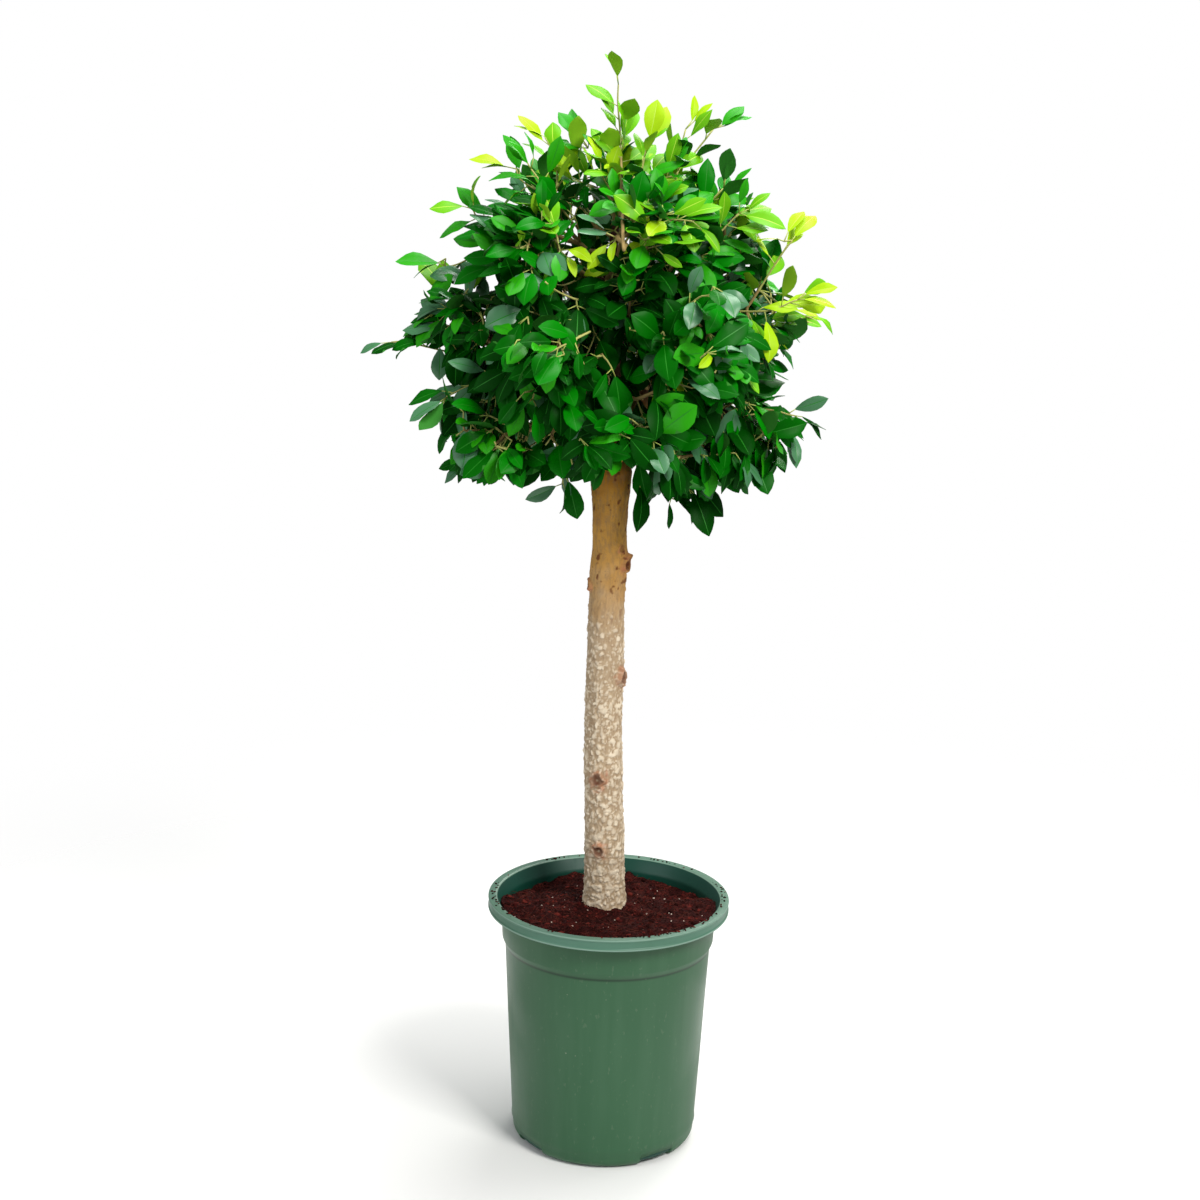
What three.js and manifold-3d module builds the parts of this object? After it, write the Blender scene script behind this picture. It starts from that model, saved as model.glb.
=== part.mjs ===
// A fig grown as a standard: a round head of small glossy leaves on one bare stem, standing in a
// plastic nursery pot. Millimetres, +Z up. The origin is the centre of the pot's flat underside, and
// -Y is the front. An azimuth is measured from the front towards +X.

import * as THREE from "three";
import { mergeVertices } from "three/addons/utils/BufferGeometryUtils.js";
import Module from "manifold-3d";

const wasm = await Module();
wasm.setup();

// ---- driving dimensions ----------------------------------------------------------------------

const GAP = 0.3; // clearance between pieces that touch
const FLATNESS = 0.08; // faces closer than this to one plane are merged

const POT = {
  height: 314.6,
  wall: 3,
  floor: 4,
  footRadius: 114.8, // outside, just above the rounded bottom corner
  footCorner: 11.5,
  shoulderHeight: 254, // where the sloping step under the collar begins
  stepHeight: 8,
  shoulderRadius: 128,
  collarFootRadius: 131.8,
  collarTopRadius: 134,
  rimInnerRadius: 139.5,
  rimRadius: 150,
  rimBand: 15, // how far the turned-down rim hangs
  rimLip: 2.4, // thickness of the turned-down rim
  edge: 2, // rounding of the rim's edges
  segments: 36,
};

const DRAIN = { count: 4, firstAzimuth: 37, width: 50, height: 13, depth: 15, wall: 2.5 };

const SOIL = {
  level: 293, // at the pot's wall, behind
  heap: 13, // how much higher it lies in front
  heapFrom: -62,
  heapTo: 0,
  heapRadii: [40, 95],
  mound: 13, // extra height against the stem
  moundSpread: 62,
  ripple: 2.2,
  hollow: 7, // depth of the two dips at the back
  hollowSpread: 30,
  hollows: [[-88, 74], [84, 66]],
  rings: [124, 104, 82, 62, 44, 22], // where the uneven top is shaped
};

const TRUNK = {
  cut: 299, // height of the flat cut, at soil level
  fork: 848,
  footRadius: 25.6,
  topRadius: 21.2,
  flare: 3.6, // extra radius of the root flare
  flareHeight: 34,
  forkSwell: 5, // extra radius where the boughs part
  // the lean and the slow bends of the stem: places of its centre at even heights
  bends: [[-5, 0], [-8, 2], [-12, 3], [-13, 1], [-11, 0], [-10, 0]],
  sides: 16,
  rings: 25,
};

// healed branch knots on the stem: height, azimuth, rise and spread
const KNOTS = [
  { height: 739, azimuth: 82, rise: 4, spread: 12 },
  { height: 711, azimuth: -96, rise: 3, spread: 11 },
  { height: 598, azimuth: 84, rise: 3.4, spread: 12 },
  { height: 470, azimuth: -21, rise: 3, spread: 13 },
  { height: 379, azimuth: -16, rise: 3, spread: 13 },
  { height: 655, azimuth: 168, rise: 3, spread: 13 },
  { height: 512, azimuth: -150, rise: 3, spread: 13 },
];

// The head: lumps of foliage in level rings round an open middle where the boughs part. Each lump is
// as wide as girth says: outwards from the middle, round the ring, and up.
const HEAD = { x: -9, y: 3, channel: 47, roof: 1082, unevenness: 0.17 };
const RINGS = [
  { name: "low", count: 6, height: 909, distance: 141, girth: [92, 96, 76], turn: 4 },
  { name: "mid", count: 6, height: 1011, distance: 140, girth: [90, 94, 82], turn: 34 },
  { name: "high", count: 5, height: 1120, distance: 96, girth: [86, 90, 80], turn: 18 },
];
const FIRST_SEED = 11; // of the lumps' unevenness
const CREST = { name: "crest", height: 1158, girth: [88, 84, 80] };

// Main boughs: each one rises from the fork and ends where it enters a lump.
const BOUGHS = [
  { name: "left", into: "foliage_mid_5", radius: 13.5, rise: 62 },
  { name: "right", into: "foliage_mid_2", radius: 13, rise: 58 },
  { name: "leader", into: "foliage_crest", radius: 12.5, rise: 90 },
  { name: "back", into: "foliage_mid_3", radius: 11.5, rise: 70 },
  { name: "front", into: "foliage_mid_6", radius: 11, rise: 66 },
  { name: "low_front", into: "foliage_low_1", radius: 8.5, rise: 24 },
  { name: "low_back", into: "foliage_low_4", radius: 8.5, rise: 26 },
  { name: "high_right", into: "foliage_high_2", radius: 9.5, rise: 84 },
];
const BOUGH = { taper: 0.5, seat: 26, sides: 8, rings: 7 };

// Leafy shoots that stand out of the head: the tip of each, its girth, how far it hangs in its
// middle, and how far in it begins.
const SHOOTS = [
  { name: "leader", tip: [-37, -4, 1347], girth: 23, sag: -10, reach: 135 },
  { name: "top_right_inner", tip: [76, -12, 1284], girth: 14, sag: -6, reach: 95 },
  { name: "top_right_outer", tip: [132, 14, 1282], girth: 15, sag: -4, reach: 110 },
  { name: "top_left_inner", tip: [-70, 18, 1257], girth: 17, sag: -4, reach: 85 },
  { name: "top_left_outer", tip: [-126, -22, 1252], girth: 16, sag: -6, reach: 95 },
  { name: "shoulder_left", tip: [-171, -28, 1209], girth: 16, sag: -5, reach: 85 },
  { name: "shoulder_right", tip: [208, -30, 1150], girth: 20, sag: -6, reach: 85 },
  { name: "upper_left", tip: [-222, -24, 1152], girth: 15, sag: -8, reach: 80 },
  { name: "side_left", tip: [-251, 12, 1083], girth: 19, sag: -8, reach: 75 },
  { name: "long_left", tip: [-307, -6, 984], girth: 19, sag: -14, reach: 110 },
  { name: "side_right", tip: [251, -14, 1026], girth: 20, sag: -8, reach: 70 },
  { name: "low_right", tip: [247, 8, 911], girth: 16, sag: -4, reach: 70 },
  { name: "hanging_right", tip: [118, -46, 788], girth: 24, sag: 6, reach: 95 },
  { name: "hanging_left", tip: [-98, -50, 806], girth: 24, sag: 6, reach: 85 },
  { name: "front_left", tip: [-96, -247, 1003], girth: 19, sag: -8, reach: 75 },
  { name: "front_right", tip: [112, -232, 1075], girth: 18, sag: -8, reach: 75 },
  { name: "back_left", tip: [-128, 238, 1062], girth: 19, sag: -8, reach: 80 },
  { name: "back_right", tip: [92, 252, 962], girth: 19, sag: -8, reach: 75 },
  { name: "back_high", tip: [22, 186, 1206], girth: 18, sag: -8, reach: 90 },
];
const SHOOT = { sides: 6, rings: 5, tip: 0.16, foot: 0.55 };

const COLOURS = {
  pot: { color: 0x47704f, roughness: 0.5 },
  soil: { color: 0x331710, roughness: 0.95 },
  bark: { color: 0xa79a80, roughness: 0.8 },
  foliage: { color: 0x1f5a1c, roughness: 0.6 },
};

// ---- geometry helpers ------------------------------------------------------------------------

const radians = THREE.MathUtils.degToRad;

// An angle in radians brought to between minus and plus half a turn.
const wrapped = (angle) => Math.atan2(Math.sin(angle), Math.cos(angle));

// The level direction at an azimuth in degrees.
function outwards(azimuth) {
  return new THREE.Vector3(Math.sin(radians(azimuth)), -Math.cos(radians(azimuth)), 0);
}

// A closed three.js geometry as a solid that can be joined and cut.
function solidOf(geometry) {
  const bare = new THREE.BufferGeometry();
  bare.setAttribute("position", (geometry.index ? geometry.toNonIndexed() : geometry).attributes.position);
  const merged = mergeVertices(bare, 1e-4);
  const corners = merged.index.array;
  const kept = [];
  for (let i = 0; i < corners.length; i += 3) {
    const [a, b, c] = corners.slice(i, i + 3);
    if (a !== b && b !== c && c !== a) kept.push(a, b, c);
  }
  const vertProperties = new Float32Array(merged.attributes.position.array);
  return new wasm.Manifold(new wasm.Mesh({ numProp: 3, vertProperties, triVerts: new Uint32Array(kept) }));
}

function geometryOf(solid) {
  const { vertProperties, triVerts } = solid.getMesh();
  const geometry = new THREE.BufferGeometry();
  geometry.setAttribute("position", new THREE.BufferAttribute(new Float32Array(vertProperties), 3));
  geometry.setIndex(new THREE.BufferAttribute(new Uint32Array(triVerts), 1));
  return geometry;
}

// What is left of a solid once each cutter is taken off, without the crumbs: rank picks the piece.
function carve(solid, cutters, rank) {
  const rest = cutters.reduce((left, cutter) => left.subtract(cutter), solid);
  return rest.decompose().reduce((best, piece) => (rank(piece) > rank(best) ? piece : best));
}

const byVolume = (piece) => piece.volume();
const byLowestPoint = (piece) => -piece.boundingBox().min[2];

// A profile of [radius, height] points turned about the Z axis.
function revolve(profile, segments) {
  const points = profile.map(([radius, height]) => new THREE.Vector2(radius, height));
  return new THREE.LatheGeometry(points, segments).rotateX(Math.PI / 2);
}

// A tapering tube along a curve, closed at both ends. radiusAt(t, azimuth, height) gives each point's
// distance from the curve, and level keeps every ring flat and level, as in a stem.
function tube(curve, radiusAt, { sides, rings, level = false, grow = 0 }) {
  const geometry = new THREE.CylinderGeometry(1, 1, 1, sides, rings);
  const { tangents, normals } = curve.computeFrenetFrames(rings, false);
  const places = geometry.attributes.position;
  for (let i = 0; i < places.count; i++) {
    const [across, along, towards] = [places.getX(i), places.getY(i) + 0.5, places.getZ(i)];
    const ring = Math.round(along * rings);
    const tangent = level ? new THREE.Vector3(0, 0, 1) : tangents[ring];
    const side = level ? new THREE.Vector3(1, 0, 0) : normals[ring];
    const front = new THREE.Vector3().crossVectors(side, tangent);
    const centre = curve.getPointAt(along);
    const radius = radiusAt(along, Math.atan2(across, towards), centre.z) + grow;
    const place = centre.addScaledVector(side, across * radius).addScaledVector(front, towards * radius);
    places.setXYZ(i, place.x, place.y, place.z);
  }
  return geometry;
}

// A repeatable random number source.
function seeded(seed) {
  let state = seed * 2654435761;
  return () => {
    state = (state + 0x6d2b79f5) | 0;
    let mixed = Math.imul(state ^ (state >>> 15), 1 | state);
    mixed = (mixed + Math.imul(mixed ^ (mixed >>> 7), 61 | mixed)) ^ mixed;
    return ((mixed ^ (mixed >>> 14)) >>> 0) / 4294967296;
  };
}

// Smooth lumpiness over all directions, from -1 to 1: a few sine waves that cross each other.
function lumpiness(seed) {
  const random = seeded(seed);
  const waves = [2.1, 3.2, 4.6, 6.1].map((frequency) => ({
    frequency,
    axis: new THREE.Vector3(random() - 0.5, random() - 0.5, random() - 0.5).normalize(),
    phase: random() * Math.PI * 2,
  }));
  return (direction) => {
    const at = ({ frequency, axis, phase }) => Math.sin(frequency * direction.dot(axis) + phase);
    return waves.reduce((sum, wave) => sum + at(wave), 0) / waves.length;
  };
}

// ---- the pot ---------------------------------------------------------------------------------

// A block with an arched top that reaches outwards through the foot of the pot.
function archBlock(azimuth, { width, height, from, to, below }) {
  const spring = height * 0.8;
  const shape = new THREE.Shape();
  shape.moveTo(-width / 2, -below);
  shape.lineTo(width / 2, -below);
  shape.lineTo(width / 2, spring);
  shape.quadraticCurveTo(0, 2 * height - spring, -width / 2, spring);
  shape.closePath();
  const block = new THREE.ExtrudeGeometry(shape, { depth: to - from, bevelEnabled: false, curveSegments: 5 });
  const out = outwards(azimuth);
  const up = new THREE.Vector3(0, 0, 1);
  const frame = new THREE.Matrix4().makeBasis(new THREE.Vector3().crossVectors(up, out), up, out);
  return solidOf(block.applyMatrix4(frame.setPosition(out.clone().multiplyScalar(from))));
}

// The recesses in the foot, or with grow the raised boxes that they make inside.
function drainBlocks(grow) {
  return Array.from({ length: DRAIN.count }, (_, i) =>
    archBlock(DRAIN.firstAzimuth + (i * 360) / DRAIN.count, {
      width: DRAIN.width + 2 * grow,
      height: DRAIN.height + grow,
      from: POT.footRadius - DRAIN.depth - grow,
      to: POT.footRadius + 10,
      below: 1,
    }),
  );
}

// Outside of the pot from the underside up to the collar's top.
function outerProfile() {
  const { footRadius, footCorner, shoulderHeight, stepHeight, shoulderRadius, height, rimBand } = POT;
  const corner = [];
  for (let step = 0; step <= 3; step++) {
    const angle = (step / 3) * (Math.PI / 2);
    corner.push([
      footRadius - footCorner + footCorner * Math.sin(angle),
      footCorner - footCorner * Math.cos(angle),
    ]);
  }
  return [
    [0, 0],
    ...corner,
    [shoulderRadius, shoulderHeight],
    [POT.collarFootRadius, shoulderHeight + stepHeight],
    [POT.collarTopRadius, height - rimBand],
  ];
}

// Inside wall of the pot from its floor up to the foot of the rim, drawn in by an inset.
function innerWall(inset) {
  const { wall, floor, footRadius, shoulderRadius, shoulderHeight, stepHeight, collarTopRadius } = POT;
  return [
    [footRadius - wall - 7 - inset, floor],
    [footRadius - wall + 0.2 - inset, floor + 8],
    [shoulderRadius - wall - inset, shoulderHeight - 3],
    [POT.collarFootRadius - wall - inset, shoulderHeight + stepHeight - 1],
    [collarTopRadius - wall - inset, POT.height - POT.rimBand - 1],
  ];
}

function potSolid() {
  const { height, wall, floor, rimRadius, rimInnerRadius, rimLip, rimBand, edge } = POT;
  const rimFoot = height - rimBand;
  const rimUnder = height - wall;
  const profile = [
    ...outerProfile(),
    [rimInnerRadius + 2.4, rimUnder],
    [rimRadius - rimLip, rimUnder],
    [rimRadius - rimLip, rimFoot + edge / 2],
    [rimRadius - rimLip + edge / 2, rimFoot],
    [rimRadius, rimFoot + edge],
    [rimRadius, height - edge],
    [rimRadius - edge, height],
    [rimInnerRadius + edge, height],
    [rimInnerRadius, height - edge],
    ...innerWall(0).reverse(),
    [0, floor],
  ];
  const shell = solidOf(revolve(profile, POT.segments));
  const inside = solidOf(revolve([...outerProfile(), [0, rimFoot]], POT.segments));
  const raised = drainBlocks(DRAIN.wall).map((block) => block.intersect(inside));
  const joined = raised.reduce((pot, block) => pot.add(block), shell);
  return carve(joined, drainBlocks(0), byVolume);
}

// ---- the potting mix -------------------------------------------------------------------------

// Height of the mix at a place: a mound against the stem, two dips at the back and small ripples.
function soilHeight(x, y) {
  const [stemX, stemY] = TRUNK.bends[0];
  const mound = SOIL.mound * Math.exp(-(((x - stemX) ** 2 + (y - stemY) ** 2) / SOIL.moundSpread ** 2));
  const forward = THREE.MathUtils.smoothstep(-y, SOIL.heapFrom, SOIL.heapTo);
  const heap = SOIL.heap * forward * THREE.MathUtils.smoothstep(Math.hypot(x, y), ...SOIL.heapRadii);
  const dips = SOIL.hollows.reduce(
    (sum, [dipX, dipY]) =>
      sum + SOIL.hollow * Math.exp(-(((x - dipX) ** 2 + (y - dipY) ** 2) / SOIL.hollowSpread ** 2)),
    0,
  );
  const ripples = SOIL.ripple * Math.sin(x / 17 + y / 41) * Math.cos(y / 19 - x / 53);
  return SOIL.level + heap + mound - dips + ripples;
}

function soilSolid(trunkSleeve) {
  const wall = innerWall(2 * GAP);
  const [foot, top] = [wall[0], wall.pop()];
  const edgeRadius = THREE.MathUtils.lerp(wall.at(-1)[0], top[0], 0.8);
  const profile = [
    [0, foot[1] + GAP],
    [foot[0], foot[1] + GAP],
    ...wall.slice(1),
    [edgeRadius, SOIL.level],
    ...SOIL.rings.map((radius) => [radius, SOIL.level]),
    [0, SOIL.level],
  ];
  const geometry = revolve(profile, POT.segments);
  const places = geometry.attributes.position;
  for (let i = 0; i < places.count; i++) {
    if (places.getZ(i) < SOIL.level - 1) continue;
    places.setZ(i, soilHeight(places.getX(i), places.getY(i)));
  }
  return carve(solidOf(geometry), [trunkSleeve, ...drainBlocks(DRAIN.wall + GAP)], byVolume);
}

// ---- the stem and its boughs -----------------------------------------------------------------

function trunkRadius(azimuth, height) {
  const { cut, fork, footRadius, topRadius, flare, flareHeight, forkSwell } = TRUNK;
  const share = (height - cut) / (fork - cut);
  const taper = THREE.MathUtils.lerp(footRadius, topRadius, share);
  const roots = flare * Math.exp(-(height - cut) / flareHeight) * (1 + 0.45 * Math.sin(4 * azimuth + 0.7));
  const parting = THREE.MathUtils.smoothstep(height, fork - 60, fork);
  const swell = forkSwell * parting * (0.7 + 0.5 * Math.sin(azimuth) ** 2);
  const grain = 0.5 * Math.sin(3 * azimuth + height / 70) + 0.35 * Math.sin(5 * azimuth - height / 31);
  const knots = KNOTS.reduce((sum, knot) => {
    const turn = wrapped(azimuth - radians(knot.azimuth));
    const apart = Math.hypot(turn * taper, height - knot.height);
    return sum + knot.rise * Math.exp(-((apart / knot.spread) ** 2));
  }, 0);
  return taper + roots + swell + grain + knots;
}

function trunkGeometry(grow = 0, extend = 0) {
  const rise = (TRUNK.fork - TRUNK.cut) / (TRUNK.bends.length - 1);
  const points = TRUNK.bends.map(([x, y], i) => {
    const end = i === 0 ? -extend : i === TRUNK.bends.length - 1 ? extend : 0;
    return new THREE.Vector3(x, y, TRUNK.cut + i * rise + end);
  });
  const radiusAt = (_, azimuth, height) => trunkRadius(azimuth, height);
  const { sides, rings } = TRUNK;
  return tube(new THREE.CatmullRomCurve3(points), radiusAt, { sides, rings, level: true, grow });
}

function boughGeometry(bough, target, grow = 0) {
  const [forkX, forkY] = TRUNK.bends.at(-1);
  const out = new THREE.Vector3(target.x - forkX, target.y - forkY, 0);
  const lean = out.length() < 1 ? outwards(20) : out.clone().normalize();
  const at = (distance, height) => new THREE.Vector3(forkX, forkY, height).addScaledVector(lean, distance);
  const side = new THREE.Vector3(-lean.y, lean.x, 0).multiplyScalar(5);
  const bend = at(out.length() * 0.3 + 8, TRUNK.fork + bough.rise).add(side);
  const curve = new THREE.CatmullRomCurve3([
    at(3, TRUNK.fork - BOUGH.seat),
    at(13, TRUNK.fork + 8),
    bend,
    new THREE.Vector3(target.x, target.y, target.z),
  ]);
  const radiusAt = (along) => bough.radius * (1 - BOUGH.taper * along) * (1 + 0.05 * Math.sin(along * 19));
  return tube(curve, radiusAt, { sides: BOUGH.sides, rings: BOUGH.rings, grow });
}

// ---- the head --------------------------------------------------------------------------------

// The lumps of foliage: name, centre, the three directions of the lump and its half sizes.
function lumps() {
  const ringed = RINGS.flatMap(({ name, count, height, distance, girth, turn }) =>
    Array.from({ length: count }, (_, i) => {
      const out = outwards(turn + (i * 360) / count);
      const wobble = 8 * Math.sin(i * 2.3 + height);
      const centre = new THREE.Vector3(HEAD.x, HEAD.y, height + wobble).addScaledVector(out, distance);
      const inside = { normal: out.clone().negate(), distance: distance - HEAD.channel };
      return { name: `foliage_${name}_${i + 1}`, centre, out, girth, inside };
    }),
  );
  const crest = {
    name: `foliage_${CREST.name}`,
    centre: new THREE.Vector3(HEAD.x, HEAD.y, CREST.height),
    out: new THREE.Vector3(1, 0, 0),
    girth: CREST.girth,
    inside: { normal: new THREE.Vector3(0, 0, -1), distance: CREST.height - HEAD.roof },
  };
  return [...ringed, crest];
}

// Planes that wall a lump in: halfway to each neighbour, and beside the open middle.
function wallsOf(lump, others) {
  const halfways = others.map((other) => {
    const apart = other.centre.clone().sub(lump.centre);
    return { normal: apart.clone().normalize(), distance: apart.length() / 2 - GAP };
  });
  return [...halfways, lump.inside];
}

// One lump: an uneven ellipsoid about its centre, cut short by its walls.
function lumpGeometry(lump, walls, seed, grow = 0) {
  const geometry = new THREE.IcosahedronGeometry(1, 2);
  const { out } = lump;
  const up = new THREE.Vector3(0, 0, 1);
  const round = new THREE.Vector3().crossVectors(up, out);
  const [outHalf, roundHalf, upHalf] = lump.girth;
  const bumps = lumpiness(seed);
  const places = geometry.attributes.position;
  const direction = new THREE.Vector3();
  for (let i = 0; i < places.count; i++) {
    direction.fromBufferAttribute(places, i).normalize();
    const stretch = Math.hypot(
      direction.dot(out) / outHalf,
      direction.dot(round) / roundHalf,
      direction.dot(up) / upHalf,
    );
    let radius = (1 + HEAD.unevenness * bumps(direction)) / stretch;
    for (const { normal, distance } of walls) {
      const facing = direction.dot(normal);
      if (facing > 1e-6) radius = Math.min(radius, distance / facing);
    }
    direction.multiplyScalar(radius + grow).add(lump.centre);
    places.setXYZ(i, direction.x, direction.y, direction.z);
  }
  return geometry;
}

// A leafy shoot: a spindle from inside the head out to its tip, bowed by its sag.
function shootGeometry(shoot) {
  const tip = new THREE.Vector3(...shoot.tip);
  const rootHeight = THREE.MathUtils.clamp(tip.z * 0.6 + 400, 900, 1130);
  const heart = new THREE.Vector3(HEAD.x, HEAD.y, rootHeight);
  const start = tip.clone().add(heart.sub(tip).setLength(shoot.reach));
  const middle = start.clone().lerp(tip, 0.55).add(new THREE.Vector3(0, 0, -shoot.sag));
  const curve = new THREE.CatmullRomCurve3([start, middle, tip]);
  const bumps = lumpiness(shoot.reach + shoot.girth);
  const radiusAt = (along, azimuth) => {
    const belly = SHOOT.foot + (1 - SHOOT.foot) * Math.sin(Math.PI * Math.min(1, along * 0.9 + 0.1));
    const end = THREE.MathUtils.smoothstep(1 - along, -0.12, 0.5);
    const lump = 1 + 0.18 * bumps(new THREE.Vector3(Math.sin(azimuth), Math.cos(azimuth), along * 2));
    return shoot.girth * Math.max(SHOOT.tip, belly * end) * lump;
  };
  return tube(curve, radiusAt, { sides: SHOOT.sides, rings: SHOOT.rings });
}

// ---- assembly --------------------------------------------------------------------------------

const plant = new THREE.Group();

function addNode(name, solid, look) {
  const material = new THREE.MeshStandardMaterial({ metalness: 0, ...look });
  const mesh = new THREE.Mesh(geometryOf(solid.simplify(FLATNESS)), material);
  mesh.name = name;
  plant.add(mesh);
}

addNode("pot", potSolid(), COLOURS.pot);
const trunkSleeve = solidOf(trunkGeometry(GAP, GAP));
addNode("potting_soil", soilSolid(trunkSleeve), COLOURS.soil);
addNode("trunk", solidOf(trunkGeometry()), COLOURS.bark);

const head = lumps();
const sleeves = head.map((lump, i) => {
  const walls = wallsOf(lump, head.filter((other) => other !== lump));
  addNode(lump.name, solidOf(lumpGeometry(lump, walls, i + FIRST_SEED)), COLOURS.foliage);
  return solidOf(lumpGeometry(lump, walls, i + FIRST_SEED, 2 * GAP));
});

const boughSleeves = [];
for (const bough of BOUGHS) {
  const target = head.find(({ name }) => name === bough.into).centre;
  const whole = solidOf(boughGeometry(bough, target));
  const limb = carve(whole, [trunkSleeve, ...boughSleeves, ...sleeves], byLowestPoint);
  addNode(`bough_${bough.name}`, limb, COLOURS.bark);
  boughSleeves.push(solidOf(boughGeometry(bough, target, GAP)));
}

for (const shoot of SHOOTS) {
  const spray = carve(solidOf(shootGeometry(shoot)), sleeves, byVolume);
  addNode(`shoot_${shoot.name}`, spray, COLOURS.foliage);
}

export default plant;
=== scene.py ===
"""A small-leaved fig grown as a standard in a nursery pot: its looks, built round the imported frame.

Metres, +Z up; -Y is the front. Azimuths are measured from the front towards +X, in radians.
"""

from __future__ import annotations

import sys
import functools
import itertools
import json
import logging
import math
from dataclasses import dataclass, field
from enum import Enum

import bpy
import numpy as np
from bpy.types import Material, Node, NodeSocket, NodeTree, Object
from mathutils import Matrix, Vector
from mathutils.bvhtree import BVHTree


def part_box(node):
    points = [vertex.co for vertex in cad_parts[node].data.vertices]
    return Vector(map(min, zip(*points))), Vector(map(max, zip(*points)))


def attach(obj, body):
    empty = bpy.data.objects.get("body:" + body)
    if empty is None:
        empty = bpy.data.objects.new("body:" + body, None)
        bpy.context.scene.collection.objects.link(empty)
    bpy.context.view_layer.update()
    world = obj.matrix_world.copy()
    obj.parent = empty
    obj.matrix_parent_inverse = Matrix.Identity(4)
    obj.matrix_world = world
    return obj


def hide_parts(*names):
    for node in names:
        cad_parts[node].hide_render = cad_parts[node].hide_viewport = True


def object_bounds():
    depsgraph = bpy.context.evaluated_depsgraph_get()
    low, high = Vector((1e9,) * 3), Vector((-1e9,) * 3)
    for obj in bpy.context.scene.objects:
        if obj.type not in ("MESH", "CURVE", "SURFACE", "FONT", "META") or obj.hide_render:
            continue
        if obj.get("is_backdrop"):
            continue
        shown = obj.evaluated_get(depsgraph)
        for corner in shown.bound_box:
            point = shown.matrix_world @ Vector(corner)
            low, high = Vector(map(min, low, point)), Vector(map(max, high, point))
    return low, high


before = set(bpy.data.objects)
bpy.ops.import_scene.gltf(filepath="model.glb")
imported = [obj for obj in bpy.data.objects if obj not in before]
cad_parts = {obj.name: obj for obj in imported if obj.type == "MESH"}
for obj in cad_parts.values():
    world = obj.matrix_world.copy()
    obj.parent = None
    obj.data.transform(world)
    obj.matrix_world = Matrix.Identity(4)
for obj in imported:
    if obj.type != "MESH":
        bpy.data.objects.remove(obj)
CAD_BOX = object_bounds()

Array = np.ndarray
Random = np.random.Generator
Colour = tuple[float, float, float, float]
Triple = tuple[float, float, float]
Pair = tuple[Array, Array]

LOG = logging.getLogger("fig_standard")
BODY = "root"
MM = 0.001
UP = np.array([0.0, 0.0, 1.0])
GOLDEN_ANGLE = math.radians(137.5)


# ---- numbers ----


def unit(vectors: Array) -> Array:
    """Vectors scaled to length one, along the last axis."""
    return vectors / np.maximum(np.linalg.norm(vectors, axis=-1, keepdims=True), 1e-12)


def norm(vectors: Array) -> Array:
    """The lengths of vectors, along the last axis."""
    return np.linalg.norm(vectors, axis=-1)


def ease(values: Array, low: float, high: float) -> Array:
    """A smooth rise from 0 at low to 1 at high: 3t^2 - 2t^3 of the share t of the way."""
    share = np.clip((np.asarray(values, float) - low) / (high - low), 0.0, 1.0)
    return share * share * (3.0 - 2.0 * share)


def outwards(azimuth: Array) -> Array:
    """Level directions at azimuths: (sin a, -cos a, 0)."""
    azimuth = np.asarray(azimuth, float)
    return np.stack([np.sin(azimuth), -np.cos(azimuth), np.zeros_like(azimuth)], -1)


def across(vectors: Array, axes: Array) -> Array:
    """The part of each vector that is square to its axis, at length one."""
    return unit(vectors - axes * np.sum(vectors * axes, axis=-1, keepdims=True))


def turns(count: int) -> Array:
    """Even azimuths once round."""
    return np.arange(count) * 2 * math.pi / count


def between(where: Array, known: Array, table: Array) -> Array:
    """Rows of a table between its known rows: each column is blended straight."""
    return np.stack([np.interp(where, known, column) for column in table.T], -1)


def lengths(path: Array) -> Array:
    """The way along a path from its start to each of its points."""
    return np.concatenate([[0.0], np.cumsum(norm(np.diff(path, axis=0)))])


class Lumps:
    """Smooth seeded noise in space: random numbers on a lattice, blended by smooth weights."""

    SIZE = 32

    def __init__(self, seed: int) -> None:
        """Fills the lattice with the numbers that a seed picks."""
        self.lattice = np.random.default_rng(seed).uniform(-1.0, 1.0, (self.SIZE,) * 3)

    def at(self, points: Array, cell: float | Triple) -> Array:
        """Values at points from -1 to 1: the lattice numbers round each, by a smooth fall-off.

        Args:
            points: places, with x, y and z on the last axis.
            cell: the size of a lattice cell, one for all or one for each axis.

        Returns:
            One value for each point.
        """
        scaled = points / np.asarray(cell, float)
        low = np.floor(scaled).astype(int)
        share = scaled - low
        share = share * share * (3.0 - 2.0 * share)
        total = np.zeros(points.shape[:-1])
        for corner in np.ndindex(2, 2, 2):
            index = (low + corner) % self.SIZE
            weight = np.prod(np.where(np.array(corner) == 1, share, 1.0 - share), axis=-1)
            total += weight * self.lattice[index[..., 0], index[..., 1], index[..., 2]]
        return total

    def layered(self, points: Array, cell: float, layers: int) -> Array:
        """Noise with finer noise on it: each layer has half the cell and half the height."""
        shares = [0.5**layer for layer in range(layers)]
        waves = [share * self.at(points + 7.3 * layer, cell * share) for layer, share in enumerate(shares)]
        return np.sum(waves, axis=0) / sum(shares)


# ---- meshes ----


@dataclass
class Faces:
    """Faces of one corner count, and the number of the finish that each one has."""

    corners: Array
    finish: Array | int = 0


def grid_faces(rows: int, columns: int, closed: bool) -> Array:
    """Four-cornered faces of a grid of points.

    Args:
        rows: how many rows of points.
        columns: how many points in a row.
        closed: whether the last column joins the first.

    Returns:
        The corner numbers, turning left from a row to the next column.
    """
    across_count = columns if closed else columns - 1
    row, column = np.meshgrid(np.arange(rows - 1), np.arange(across_count), indexing="ij")
    beside = (column + 1) % columns
    corners = [row * columns + column, row * columns + beside, (row + 1) * columns + beside]
    return np.stack([*corners, (row + 1) * columns + column], -1).reshape(-1, 4)


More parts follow.
